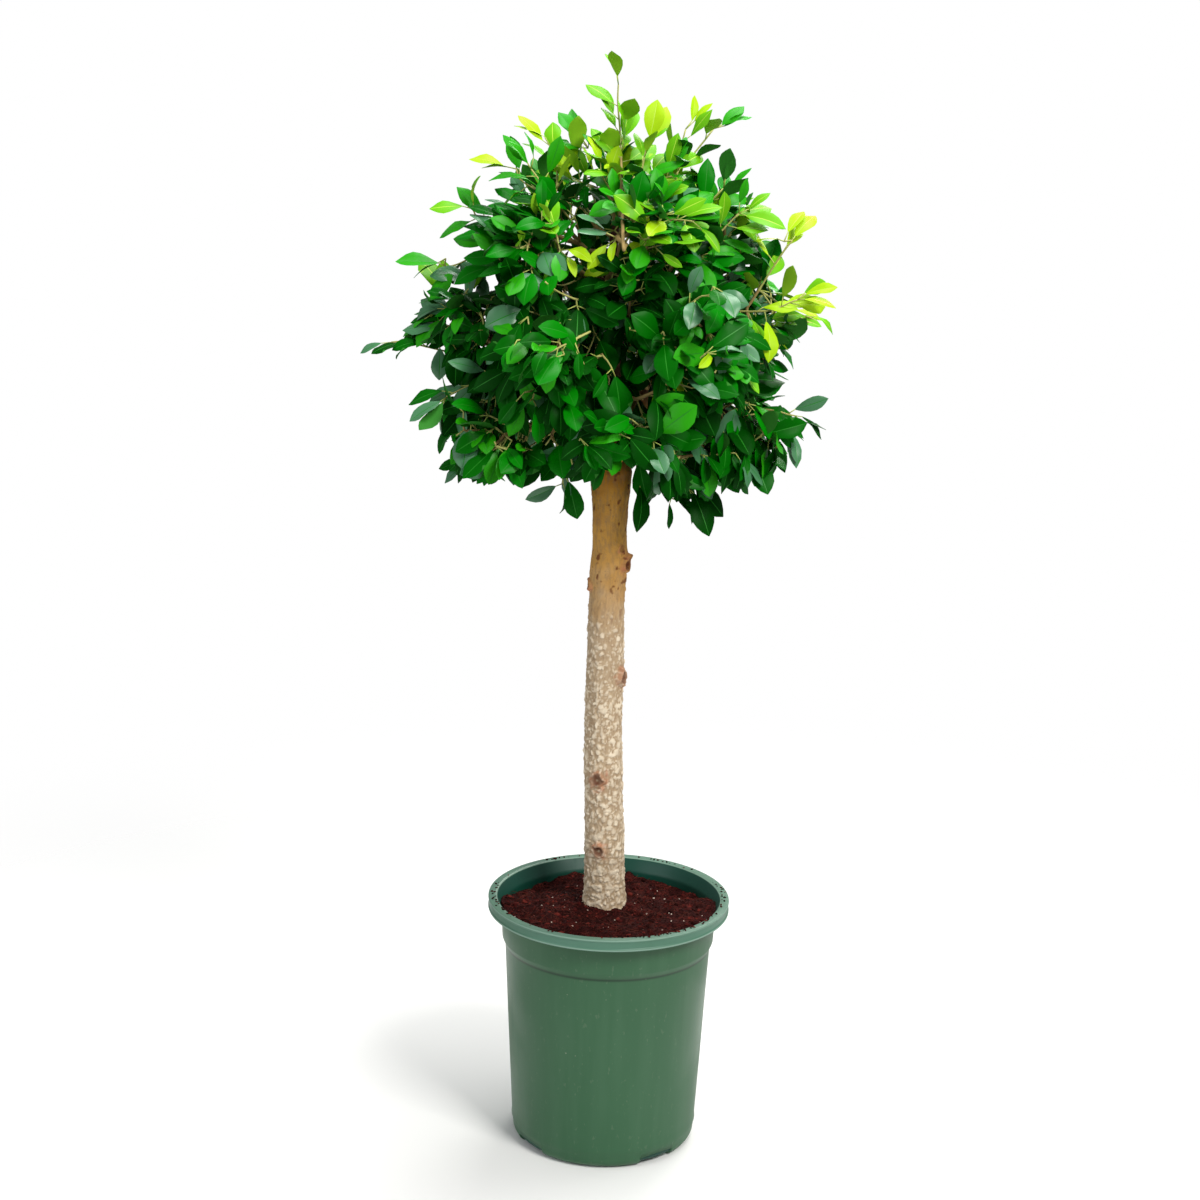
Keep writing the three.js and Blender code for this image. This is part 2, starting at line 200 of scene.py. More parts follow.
def make_piece(
    name: str,
    points: Array,
    faces: list[Faces],
    finishes: list[Material],
    smooth: bool = True,
) -> Object:
    """A mesh object from arrays.

    Args:
        name: the piece's name.
        points: the vertices.
        faces: its faces, in groups of one corner count.
        finishes: its materials.
        smooth: whether it is shaded smooth.

    Returns:
        The new object, linked to the scene.
    """
    mesh = bpy.data.meshes.new(name)
    points = np.ascontiguousarray(points, np.float32).reshape(-1, 3)
    mesh.vertices.add(len(points))
    mesh.vertices.foreach_set("co", points.ravel())
    counts = np.concatenate([np.full(len(f.corners), f.corners.shape[1], np.int32) for f in faces])
    corners = np.concatenate([f.corners.ravel() for f in faces]).astype(np.int32)
    mesh.loops.add(len(corners))
    mesh.loops.foreach_set("vertex_index", corners)
    mesh.polygons.add(len(counts))
    starts = np.concatenate([[0], np.cumsum(counts)[:-1]]).astype(np.int32)
    mesh.polygons.foreach_set("loop_start", starts)
    numbers = np.concatenate([np.broadcast_to(f.finish, len(f.corners)) for f in faces])
    mesh.polygons.foreach_set("material_index", numbers.astype(np.int32))
    mesh.polygons.foreach_set("use_smooth", np.full(len(counts), smooth))
    for finish in finishes:
        mesh.materials.append(finish)
    mesh.update(calc_edges=True)
    mesh.validate()
    piece = bpy.data.objects.new(name, mesh)
    bpy.context.scene.collection.objects.link(piece)
    return piece


def write_shares(piece: Object, **values: Array) -> None:
    """Writes named shares to a mesh, one for each vertex."""
    for name, share in values.items():
        layer = piece.data.attributes.new(name, "FLOAT", "POINT")
        layer.data.foreach_set("value", np.ascontiguousarray(share, np.float32).ravel())


def place_piece(piece: Object, slot: str, *nodes: str) -> Object:
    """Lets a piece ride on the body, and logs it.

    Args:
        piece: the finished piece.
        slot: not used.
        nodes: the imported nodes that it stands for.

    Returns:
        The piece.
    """
    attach(piece, BODY)
    if nodes:
        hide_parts(*nodes)
    LOG.info("%s: %d faces, for %s", piece.name, len(piece.data.polygons), ", ".join(nodes) or "itself")
    return piece


def lathe(profiles: Array, azimuths: Array) -> Array:
    """Points of profiles of (radius, height), one for each azimuth, turned about the upright axis."""
    return outwards(azimuths)[None] * profiles[..., :1] + UP * profiles[..., 1:]


def rounded(corners: list[Triple], steps: int) -> Array:
    """A profile with quadratic arcs in place of its corners.

    An arc begins and ends a rounding away: (1-t)^2 start + 2t(1-t) corner + t^2 end.

    Args:
        corners: radius, height and rounding of each corner, 0 where it stays sharp.
        steps: how many steps each arc has.

    Returns:
        The points of the rounded profile.
    """
    points = np.array(corners, float)[:, :2]
    shares = np.linspace(0.0, 1.0, steps + 1)[:, None]
    outline = []
    for number, (corner, (_, _, rounding)) in enumerate(zip(points, corners)):
        if not rounding:
            outline.append(corner[None])
            continue
        start = corner + unit(points[number - 1] - corner) * rounding
        end = corner + unit(points[number + 1] - corner) * rounding
        outline.append((1 - shares) ** 2 * start + 2 * shares * (1 - shares) * corner + shares**2 * end)
    return np.concatenate(outline)


def densified(points: Array, step: float) -> Array:
    """A broken line with more points on its long straight stretches, so none is longer than step."""
    parts = []
    for start, end in zip(points[:-1], points[1:]):
        count = max(1, math.ceil(np.linalg.norm(end - start) / step))
        parts.append(start + (end - start) * np.arange(count)[:, None] / count)
    return np.concatenate([*parts, points[-1:]])


def smooth_path(points: Array, per_span: int) -> Array:
    """A smooth curve through points: Catmull and Rom's cubic, with per_span points to a span."""
    padded = np.concatenate([2 * points[:1] - points[1:2], points, 2 * points[-1:] - points[-2:-1]])
    share = (np.arange(per_span) / per_span)[None, :, None]
    a, b, c, d = (padded[i : len(padded) - 3 + i][:, None, :] for i in range(4))
    spans = 0.5 * (
        2 * b + (c - a) * share + (2 * a - 5 * b + 4 * c - d) * share**2 + (3 * b - a - 3 * c + d) * share**3
    )
    return np.concatenate([spans.reshape(-1, points.shape[1]), points[-1:]])


def spokes(first: Array, second: Array, sides: int) -> Array:
    """Directions all round, from two cross directions: first cos a + second sin a."""
    angles = turns(sides)
    return first[:, None] * np.cos(angles)[None, :, None] + second[:, None] * np.sin(angles)[None, :, None]


def tube_points(path: Array, radii: Array, sides: int) -> Array:
    """Rings of points round a path, which do not twist along it.

    Args:
        path: the centres.
        radii: one radius for each ring.
        sides: how many points a ring has.

    Returns:
        The points, ring by side.
    """
    tangents = unit(np.gradient(path, axis=0))
    first = np.empty_like(tangents)
    first[0] = across(UP if abs(tangents[0][2]) < 0.9 else np.array([1.0, 0.0, 0.0]), tangents[0])
    for i in range(1, len(path)):
        first[i] = across(first[i - 1], tangents[i])
    return path[:, None] + spokes(first, np.cross(tangents, first), sides) * radii[:, None, None]


def tube_faces(rings: int, sides: int) -> tuple[Array, Array, Array]:
    """Faces of a closed tube.

    Args:
        rings: how many rings.
        sides: how many points a ring has.

    Returns:
        The faces of the wall, the first end and the last end.
    """
    wall = grid_faces(rings, sides, closed=True)
    first = np.arange(sides)[None, ::-1]
    last = (rings - 1) * sides + np.arange(sides)[None]
    return wall, first, last


class Tubes:
    """Closed tubes joined into one piece: all their walls, and their ends by corner count."""

    def __init__(self) -> None:
        """Starts with no tubes."""
        self.points: list[Array] = []
        self.walls: list[Faces] = []
        self.ends: dict[int, list[Faces]] = {}
        self.count = 0

    def add(self, rings: Array, finish: Array | int = 0, end: int = 0) -> None:
        """Adds a tube.

        Args:
            rings: its points, ring by side.
            finish: the finish number of its wall, or of each face of it.
            end: the finish number of its ends.
        """
        wall, first, last = tube_faces(*rings.shape[:2])
        self.points.append(rings.reshape(-1, 3))
        self.walls.append(Faces(wall + self.count, finish))
        caps = Faces(np.concatenate([first, last]) + self.count, end)
        self.ends.setdefault(rings.shape[1], []).append(caps)
        self.count += len(self.points[-1])

    def piece(self, name: str, *finishes: Material) -> Object:
        """All the tubes as one piece."""
        ends = [caps for sides in sorted(self.ends) for caps in self.ends[sides]]
        return make_piece(name, np.concatenate(self.points), self.walls + ends, list(finishes))


def closed_rings(name: str, rings: Array, finish: Material) -> Object:
    """A piece from rings of points, with its first and last ring as whole faces."""
    tubes = Tubes()
    tubes.add(rings)
    return tubes.piece(name, finish)


# ---- finishes ----


@dataclass(frozen=True)
class Sheen:
    """How a finish shines: the shader's own plain numbers."""

    roughness: float = 0.5
    specular: float = 0.5


class Graph:
    """The nodes of one material or group, with short calls to add and join them."""

    def __init__(self, tree: NodeTree) -> None:
        """Keeps the tree."""
        self.tree = tree

    def put(self, socket: NodeSocket, value: object) -> None:
        """Sets an input, or joins an output to it."""
        if isinstance(value, NodeSocket):
            self.tree.links.new(value, socket)
        else:
            socket.default_value = value

    def node(self, kind: str, *values: object, **settings: object) -> Node:
        """A new node of a kind, with settings of its own and values on its first inputs."""
        made = self.tree.nodes.new("ShaderNode" + kind)
        for key, value in settings.items():
            setattr(made, key, value)
        for socket, value in zip(made.inputs, values):
            self.put(socket, value)
        return made

    def feed(self, node: Node, **inputs: object) -> Node:
        """Puts values on a node's inputs by name, with _ for a space."""
        for key, value in inputs.items():
            self.put(node.inputs[key.replace("_", " ")], value)
        return node

    @functools.cached_property
    def place(self) -> NodeSocket:
        """The place on the object that the patterns read."""
        return self.node("TexCoord").outputs["Object"]

    def height(self) -> NodeSocket:
        """The height of that place."""
        return self.node("SeparateXYZ", self.place).outputs[2]

    def mask(self, group: NodeTree, **inputs: object) -> NodeSocket:
        """The mask of a placed group."""
        return self.feed(self.node("Group", node_tree=group), Place=self.place, **inputs).outputs[0]

    def noise(self, place: NodeSocket, **inputs: object) -> NodeSocket:
        """Soft noise in space."""
        return self.feed(self.node("TexNoise"), Vector=place, **inputs).outputs[0]

    def layers(self, base: object, *coats: tuple[object, Colour]) -> object:
        """Colours laid over a base one after another, each at its share."""
        for share, tint in coats:
            mix = self.node("Mix", share, data_type="RGBA")
            self.put(mix.inputs[6], base)
            self.put(mix.inputs[7], tint)
            base = mix.outputs[2]
        return base

    def maths(self, operation: str, first: object, second: object) -> NodeSocket:
        """The result of one sum on two values."""
        return self.node("Math", first, second, operation=operation).outputs[0]

    def times(self, first: object, second: object) -> NodeSocket:
        """One value times another."""
        return self.maths("MULTIPLY", first, second)

    def attribute(self, name: str) -> NodeSocket:
        """The share that a mesh carries under a name."""
        return self.node("Attribute", attribute_name=name).outputs["Fac"]

    def ramp(self, value: object, *span: object) -> NodeSocket:
        """A value carried smoothly from a low and a high to 0 and 1, or to a pair that follows."""
        return self.node("MapRange", value, *span, interpolation_type="SMOOTHSTEP").outputs[0]


def colour(red: float, green: float, blue: float) -> Colour:
    """An opaque colour from its red, green and blue light."""
    return (red, green, blue, 1.0)


def new_group(name: str, **inputs: object) -> tuple[Graph, bpy.types.bpy_prop_collection]:
    """An empty shader group with named inputs and a mask to give.

    Args:
        name: the group's name.
        inputs: the first value of each input, or None for a place.

    Returns:
        The group's graph, and its inputs as sockets.
    """
    tree = bpy.data.node_groups.new(name, "ShaderNodeTree")
    for key, value in inputs.items():
        kind = "NodeSocketFloat" if isinstance(value, float) else "NodeSocketVector"
        socket = tree.interface.new_socket(name=key, in_out="INPUT", socket_type=kind)
        if value is not None:
            socket.default_value = value
    tree.interface.new_socket(name="Mask", in_out="OUTPUT", socket_type="NodeSocketFloat")
    return Graph(tree), tree.nodes.new("NodeGroupInput").outputs


def end_group(graph: Graph, mask: NodeSocket) -> NodeTree:
    """Joins the mask to the end of a group and gives the group's tree."""
    graph.put(graph.tree.nodes.new("NodeGroupOutput").inputs["Mask"], mask)
    return graph.tree


@functools.cache
def patches() -> NodeTree:
    """Soft patches, built once: noise on a stretched place, brought from low to high."""
    graph, given = new_group(
        "patches", Place=None, Stretch=(1.0, 1.0, 1.0), Scale=10.0, Detail=3.0, Low=0.4, High=0.6
    )
    stretched = graph.node("VectorMath", given["Place"], given["Stretch"], operation="MULTIPLY").outputs[0]
    noise = graph.noise(stretched, Scale=given["Scale"], Detail=given["Detail"])
    return end_group(graph, graph.ramp(noise, given["Low"], given["High"]))


@functools.cache
def specks() -> NodeTree:
    """Small round specks, built once: cells whose middle is nearer than Size, in a Share of the cells."""
    graph, given = new_group("specks", Place=None, Scale=100.0, Size=0.25, Share=0.5)
    cells = graph.feed(graph.node("TexVoronoi"), Vector=given["Place"], Scale=given["Scale"])
    near = graph.maths("LESS_THAN", cells.outputs["Distance"], given["Size"])
    number = graph.node("SeparateColor", cells.outputs["Color"]).outputs[0]
    return end_group(graph, graph.times(near, graph.maths("LESS_THAN", number, given["Share"])))


@dataclass(frozen=True)
class Finish:
    """A finish of one plain colour."""

    name: str
    base: Colour
    sheen: Sheen = Sheen()

    def shader(self) -> tuple[Material, Graph, Node]:
        """A new material with its colour and shine on the shader's own sockets."""
        material = bpy.data.materials.new(self.name)
        material.use_nodes = True
        graph, surface = Graph(material.node_tree), material.node_tree.nodes["Principled BSDF"]
        graph.feed(surface, Base_Color=self.base, Roughness=self.sheen.roughness, Metallic=0.0)
        graph.feed(surface, Specular_IOR_Level=self.sheen.specular)
        return material, graph, surface

    def material(self) -> Material:
        """The finished material."""
        return self.shader()[0]

    @staticmethod
    def grain(graph: Graph, surface: Node, strength: float, distance: float, **noise: float) -> None:
        """Lets a fine noise raise the surface's look."""
        bump = graph.feed(graph.node("Bump"), Strength=strength, Distance=distance)
        graph.feed(bump, Height=graph.noise(graph.place, **noise))
        graph.feed(surface, Normal=bump.outputs[0])


@dataclass(frozen=True)
class PotPlastic(Finish):
    """Moulded plastic with faint upright streaks, dull patches, scuffs and a few pale specks.

    The mesh carries two shares: rim, whose band is painted paler and bluer as a sky reflection, and inside, a dark
    teal that is partly damp and partly painted shade.
    """

    faded: Colour = colour(0.048, 0.125, 0.064)
    dust: Colour = colour(0.26, 0.3, 0.22)
    # rim is painted reflection: the rim's band is laid paler and bluer, as the sky's reflection on it.
    rim: Colour = colour(0.075, 0.18, 0.125)
    # edge is painted highlight: pale lines laid along the rim's upper and lower edges.
    edge: Colour = colour(0.3, 0.44, 0.36)
    # inside is partly painted shade: the inner wall is laid darker, partly as damp plastic and partly as the shade
    # inside the pot.
    inside: Colour = colour(0.003, 0.052, 0.034)
    # dark is painted shadow: a dark band laid round the pot at the step, where the collar's undercut is in shade.
    dark: Colour = colour(0.008, 0.03, 0.014)
    step: float = 254.5 * MM
    step_shadow_width: float = 3.6 * MM
    rim_highlight_levels: tuple[float, float] = (301.2 * MM, 313.4 * MM)
    rim_highlight_width: float = 1.6 * MM

    @staticmethod
    def band(graph: Graph, level: float, width: float) -> NodeSocket:
        """A mask that is 1 at a level and falls to 0 a width above and below it."""
        height = graph.height()
        above = graph.ramp(height, level, level + width, 1.0, 0.0)
        return graph.times(graph.ramp(height, level - width, level), above)

    def material(self) -> Material:
        """The plastic, with a painted shadow at the step and two painted highlight lines along the rim's edges."""
        material, graph, surface = self.shader()
        mask, times, rim = graph.mask, graph.times, graph.attribute("rim")
        streaks = mask(patches(), Stretch=(1.0, 1.0, 0.07), Scale=55.0, Detail=4.0, Low=0.42, High=0.72)
        clouds = mask(patches(), Scale=9.0, Detail=5.0, Low=0.35, High=0.7)
        scuffs = mask(patches(), Stretch=(1.0, 1.0, 0.5), Scale=210.0, Detail=6.0, Low=0.62, High=0.72)
        dots = mask(specks(), Scale=85.0, Size=0.09, Share=0.035)
        # Painted highlights: thin bands at the rim's two edges.
        lines = [times(self.band(graph, level, self.rim_highlight_width), rim) for level in self.rim_highlight_levels]
        base = graph.layers(
            self.base,
            (times(streaks, 0.38), self.faded),
            (times(clouds, 0.25), self.faded),
            (times(scuffs, 0.12), self.dust),
            (times(dots, 0.4), self.dust),
            # Painted shadow: a dark band along the step under the collar.
            (times(self.band(graph, self.step, self.step_shadow_width), 0.85), self.dark),
            # Painted reflection: the rim's band paler and bluer, uneven with the clouds.
            (times(rim, graph.ramp(clouds, 0.0, 1.0, 1.0, 0.7)), self.rim),
            # Painted highlight lines along the rim's edges.
            *((times(line, 0.55), self.edge) for line in lines),
            # Partly painted shade: the inner wall laid dark, partly damp.
            (graph.attribute("inside"), self.inside),
        )
        rough = graph.ramp(clouds, 0.0, 1.0, self.sheen.roughness - 0.06, self.sheen.roughness + 0.1)
        graph.feed(surface, Base_Color=base, Roughness=graph.maths("ADD", rough, times(scuffs, 0.15)))
        self.grain(graph, surface, 0.12, 0.4 * MM, Scale=900.0, Detail=2.0)
        return material


@dataclass(frozen=True)
class PottingMix(Finish):
    """Moist peat and coco fibre: dark crumbs of several browns."""

    rust: Colour = colour(0.088, 0.0125, 0.009)
    black: Colour = colour(0.009, 0.0025, 0.002)

    def material(self) -> Material:
        """The mix, mottled in two sizes, with rusty specks."""
        material, graph, surface = self.shader()
        coarse = graph.mask(patches(), Scale=62.0, Detail=7.0, Low=0.46, High=0.64)
        fine = graph.mask(patches(), Scale=420.0, Detail=5.0, Low=0.4, High=0.62)
        chips = graph.mask(specks(), Scale=330.0, Size=0.3, Share=0.14)
        masks = ((coarse, 0.75, self.rust), (fine, 0.8, self.black), (chips, 0.5, self.rust))
        base = graph.layers(self.base, *((graph.times(mask, share), tint) for mask, share, tint in masks))
        graph.feed(surface, Base_Color=base, Roughness=graph.ramp(fine, 0.0, 1.0, 0.72, 0.98))
        self.grain(graph, surface, 0.9, 1.6 * MM, Scale=650.0, Detail=6.0, Roughness=0.7)
        return material


@dataclass(frozen=True)
class Bark(Finish):
    """Pale bark with cream flakes below, golden above and red-brown at the fork.

    The mesh carries four shares: flake where a flake stands up, blotch on dark warts, scar on
    healed knots, and callus round them. Each rise is the span of height over which a colour comes.
    """

    golden: Colour = colour(0.56, 0.285, 0.05)
    red: Colour = colour(0.42, 0.165, 0.002)
    deep: Colour = colour(0.1, 0.036, 0.022)
    shade: Colour = colour(0.25, 0.16, 0.09)
    cream: Colour = colour(0.88, 0.77, 0.6)
    blotch: Colour = colour(0.13, 0.032, 0.008)
    scar: Colour = colour(0.1, 0.022, 0.008)
    callus: Colour = colour(0.46, 0.17, 0.085)
    golden_rise: tuple[float, float] = (0.655, 0.79)
    red_rise: tuple[float, float] = (0.8, 0.875)
    deep_rise: tuple[float, float] = (0.9, 0.99)

    def material(self) -> Material:
        """The bark, in bands of colour that waver, with a grain, pores and the mesh's own shares."""
        material, graph, surface = self.shader()
        times = graph.times
        clouds = graph.mask(patches(), Scale=34.0, Detail=5.0, Low=0.3, High=0.72)
        grain = graph.mask(patches(), Stretch=(1.0, 1.0, 0.3), Scale=330.0, Detail=5.0, Low=0.42, High=0.66)
        pores = graph.mask(specks(), Scale=260.0, Size=0.26, Share=0.3)
        height = graph.maths("ADD", graph.height(), times(clouds, 0.05))
        rises = ((self.golden_rise, self.golden), (self.red_rise, self.red), (self.deep_rise, self.deep))
        marks = ((clouds, 0.3), (grain, 0.42), (pores, 0.35))
        shares = {"flake": self.cream, "blotch": self.blotch, "callus": self.callus, "scar": self.scar}
        base = graph.layers(
            self.base,
            *((graph.ramp(height, *rise), tint) for rise, tint in rises),
            *((times(mask, share), self.shade) for mask, share in marks),
            *((graph.attribute(name), tint) for name, tint in shares.items()),
        )
        graph.feed(surface, Base_Color=base, Roughness=graph.ramp(grain, 0.0, 1.0, 0.66, 0.9))
        self.grain(graph, surface, 0.5, 0.9 * MM, Scale=520.0, Detail=6.0, Roughness=0.65)
        return material


# ---- the pot ----


@dataclass
class Pot:
    """The nursery pot, with a turned-down rim, a collar, a small step and four recesses in its foot."""

    wall: float = 3.0 * MM
    floor: float = 4.0 * MM
    foot_radius: float = 114.8 * MM
    foot_corner: float = 11.5 * MM
    shoulder_height: float = 254.0 * MM
    step_height: float = 8.0 * MM
    shoulder_radius: float = 128.0 * MM
    collar_foot_radius: float = 131.8 * MM
    collar_top_radius: float = 134.0 * MM
    rim_inner_radius: float = 139.5 * MM
    rim_band: float = 15.0 * MM
    rim_lip: float = 2.4 * MM
    rim_bead: float = 3.0 * MM
    rim_hollow: float = 0.8 * MM
    recess_azimuths: tuple[float, ...] = tuple(math.radians(37.0 + 90.0 * turn) for turn in range(4))
    recess_width: float = 50.0 * MM
    recess_height: float = 13.0 * MM
    recess_depth: float = 15.0 * MM
    columns: int = 288
    finish: PotPlastic = PotPlastic("pot_plastic", colour(0.027, 0.098, 0.043), Sheen(0.42, 0.32))

    def __post_init__(self) -> None:
        """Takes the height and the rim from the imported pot."""
        low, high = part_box("pot")
        self.height = float(high[2] - low[2])
        self.rim_radius = float(high[0])

    def upper_profile(self) -> Array:
        """Radii and heights from just above the foot, over the rim and down inside to the axis."""
        height, wall, bead = self.height, self.wall, self.rim_bead
        foot, shoulder, collar = self.foot_radius, self.shoulder_radius, self.collar_foot_radius
        top, inside, rim = self.collar_top_radius, self.rim_inner_radius, self.rim_radius
        rim_foot, rim_under = height - self.rim_band, height - wall
        lip, groove = rim - self.rim_lip, rim - self.rim_hollow
        step, step_top = self.shoulder_height, self.shoulder_height + self.step_height
        corners = [
            (foot, self.foot_corner, 0.0),
            (foot + 1.0 * MM, 19.0 * MM, 0.0),
            (foot + 1.9 * MM, 22.0 * MM, 0.0),
            (foot + 1.4 * MM, 27.0 * MM, 0.0),
            (shoulder, step, 1.6 * MM),
            (collar, step_top, 1.2 * MM),
            (top, rim_foot, 1.5 * MM),
            (inside + 2.4 * MM, rim_under, 1.0 * MM),
            (lip, rim_under, 0.0),
            (lip, rim_foot, 0.9 * MM),
            (rim, rim_foot, 1.2 * MM),
            (rim, rim_foot + bead, 0.6 * MM),
            (groove, rim_foot + bead + 1.0 * MM, 0.4 * MM),
            (groove, height - bead - 1.0 * MM, 0.4 * MM),
            (rim, height - bead, 0.6 * MM),
            (rim, height, 1.6 * MM),
            (inside, height, 3.0 * MM),
            (top - wall, rim_foot - 1.0 * MM, 3.0 * MM),
            (collar - wall, step_top - 1.0 * MM, 1.5 * MM),
            (shoulder - wall, step - 3.0 * MM, 1.5 * MM),
            (foot - wall, self.floor, 6.0 * MM),
            (0.5 * MM, self.floor, 0.0),
        ]
        return densified(rounded(corners, steps=6), 9.0 * MM)

    def foot_profiles(self, azimuths: Array) -> Array:
        """Radii and heights from the axis along the underside to just above the foot.

        Beside a recess the line runs level, then up a quarter circle. In one it turns up at the back
        and out under an arch that falls with the square of the place.

        Args:
            azimuths: the directions of the columns.

        Returns:
            The profiles, point by azimuth.
        """
        turn = azimuths[:, None] - np.array(self.recess_azimuths)[None]
        turn = np.abs(np.arctan2(np.sin(turn), np.cos(turn))).min(axis=1)
        half = self.recess_width / 2 / self.foot_radius
        inside = turn < half
        arch = self.recess_height * (1.0 - 0.2 * np.clip(turn / half, 0.0, 1.0) ** 2)
        back = self.foot_radius - self.recess_depth
        level = np.linspace(0.5 * MM, back, 9)
        rise = np.linspace(0.0, 1.0, 7)[1:, None]
        arc = np.linspace(0.0, math.pi / 2, 9)[1:, None]
        corner = self.foot_radius - self.foot_corner
        plain = [
            np.concatenate([back + (corner - back) * rise, corner + self.foot_corner * np.sin(arc)]),
            np.concatenate([0.0 * rise, self.foot_corner * (1.0 - np.cos(arc))]),
        ]
        out = np.linspace(0.0, 1.0, 9)[1:, None]
        cut = [
            np.concatenate([back + 0.0 * rise * arch, back + (self.foot_radius - back) * out + 0.0 * arch]),
            np.concatenate([rise * arch, arch + 0.0 * out]),
        ]
        under = np.broadcast_to(level[:, None], (len(level), len(azimuths)))
        radii = np.concatenate([under, np.where(inside, cut[0], plain[0])])
        heights = np.concatenate([0.0 * under, np.where(inside, cut[1], plain[1])])
        return np.stack([radii, heights], -1)

    def azimuth_columns(self) -> Array:
        """Even directions, with a close pair at each side of each recess for its upright walls."""
        half = self.recess_width / 2 / self.foot_radius
        edges = [sign * half * (1.0 + shift) for sign in (-1, 1) for shift in (-4e-4, 4e-4)]
        sides = [azimuth + edge for azimuth in self.recess_azimuths for edge in edges]
        return np.sort(np.concatenate([turns(self.columns), np.mod(sides, 2 * math.pi)]))

    def rings(self) -> Array:
        """The pot's points from the middle of its foot, over its rim and down inside, uneven by a hair."""
        azimuths = self.azimuth_columns()
        upper = self.upper_profile()[1:]
        upper = np.broadcast_to(upper[:, None], (len(upper), len(azimuths), 2))
        points = lathe(np.concatenate([self.foot_profiles(azimuths), upper]), azimuths)
        wobble = Lumps(3).at(points, 90 * MM)[..., None] * 0.25 * MM
        upright = ease(points[..., 2], 12 * MM, 40 * MM)[..., None]
        return points + outwards(azimuths)[None] * wobble * upright

    def build(self) -> Object:
        """Makes the piece, with its plastic and the shares of its rim and its inside."""
        points = self.rings()
        reach, level = points[:, :1, 0] ** 2 + points[:, :1, 1] ** 2, points[:, :1, 2]
        on_rim = level > self.height - self.rim_band - 0.2 * MM
        on_rim &= reach > (self.rim_inner_radius - 0.5 * MM) ** 2
        inside = np.arange(len(points))[:, None] > np.flatnonzero(on_rim).max()
        piece = closed_rings("nursery_pot", points, self.finish.material())
        write_shares(piece, rim=on_rim + 0.0 * points[..., 0], inside=inside + 0.0 * points[..., 0])
        return place_piece(piece, "pot_plastic", "pot")


# ---- the potting mix ----


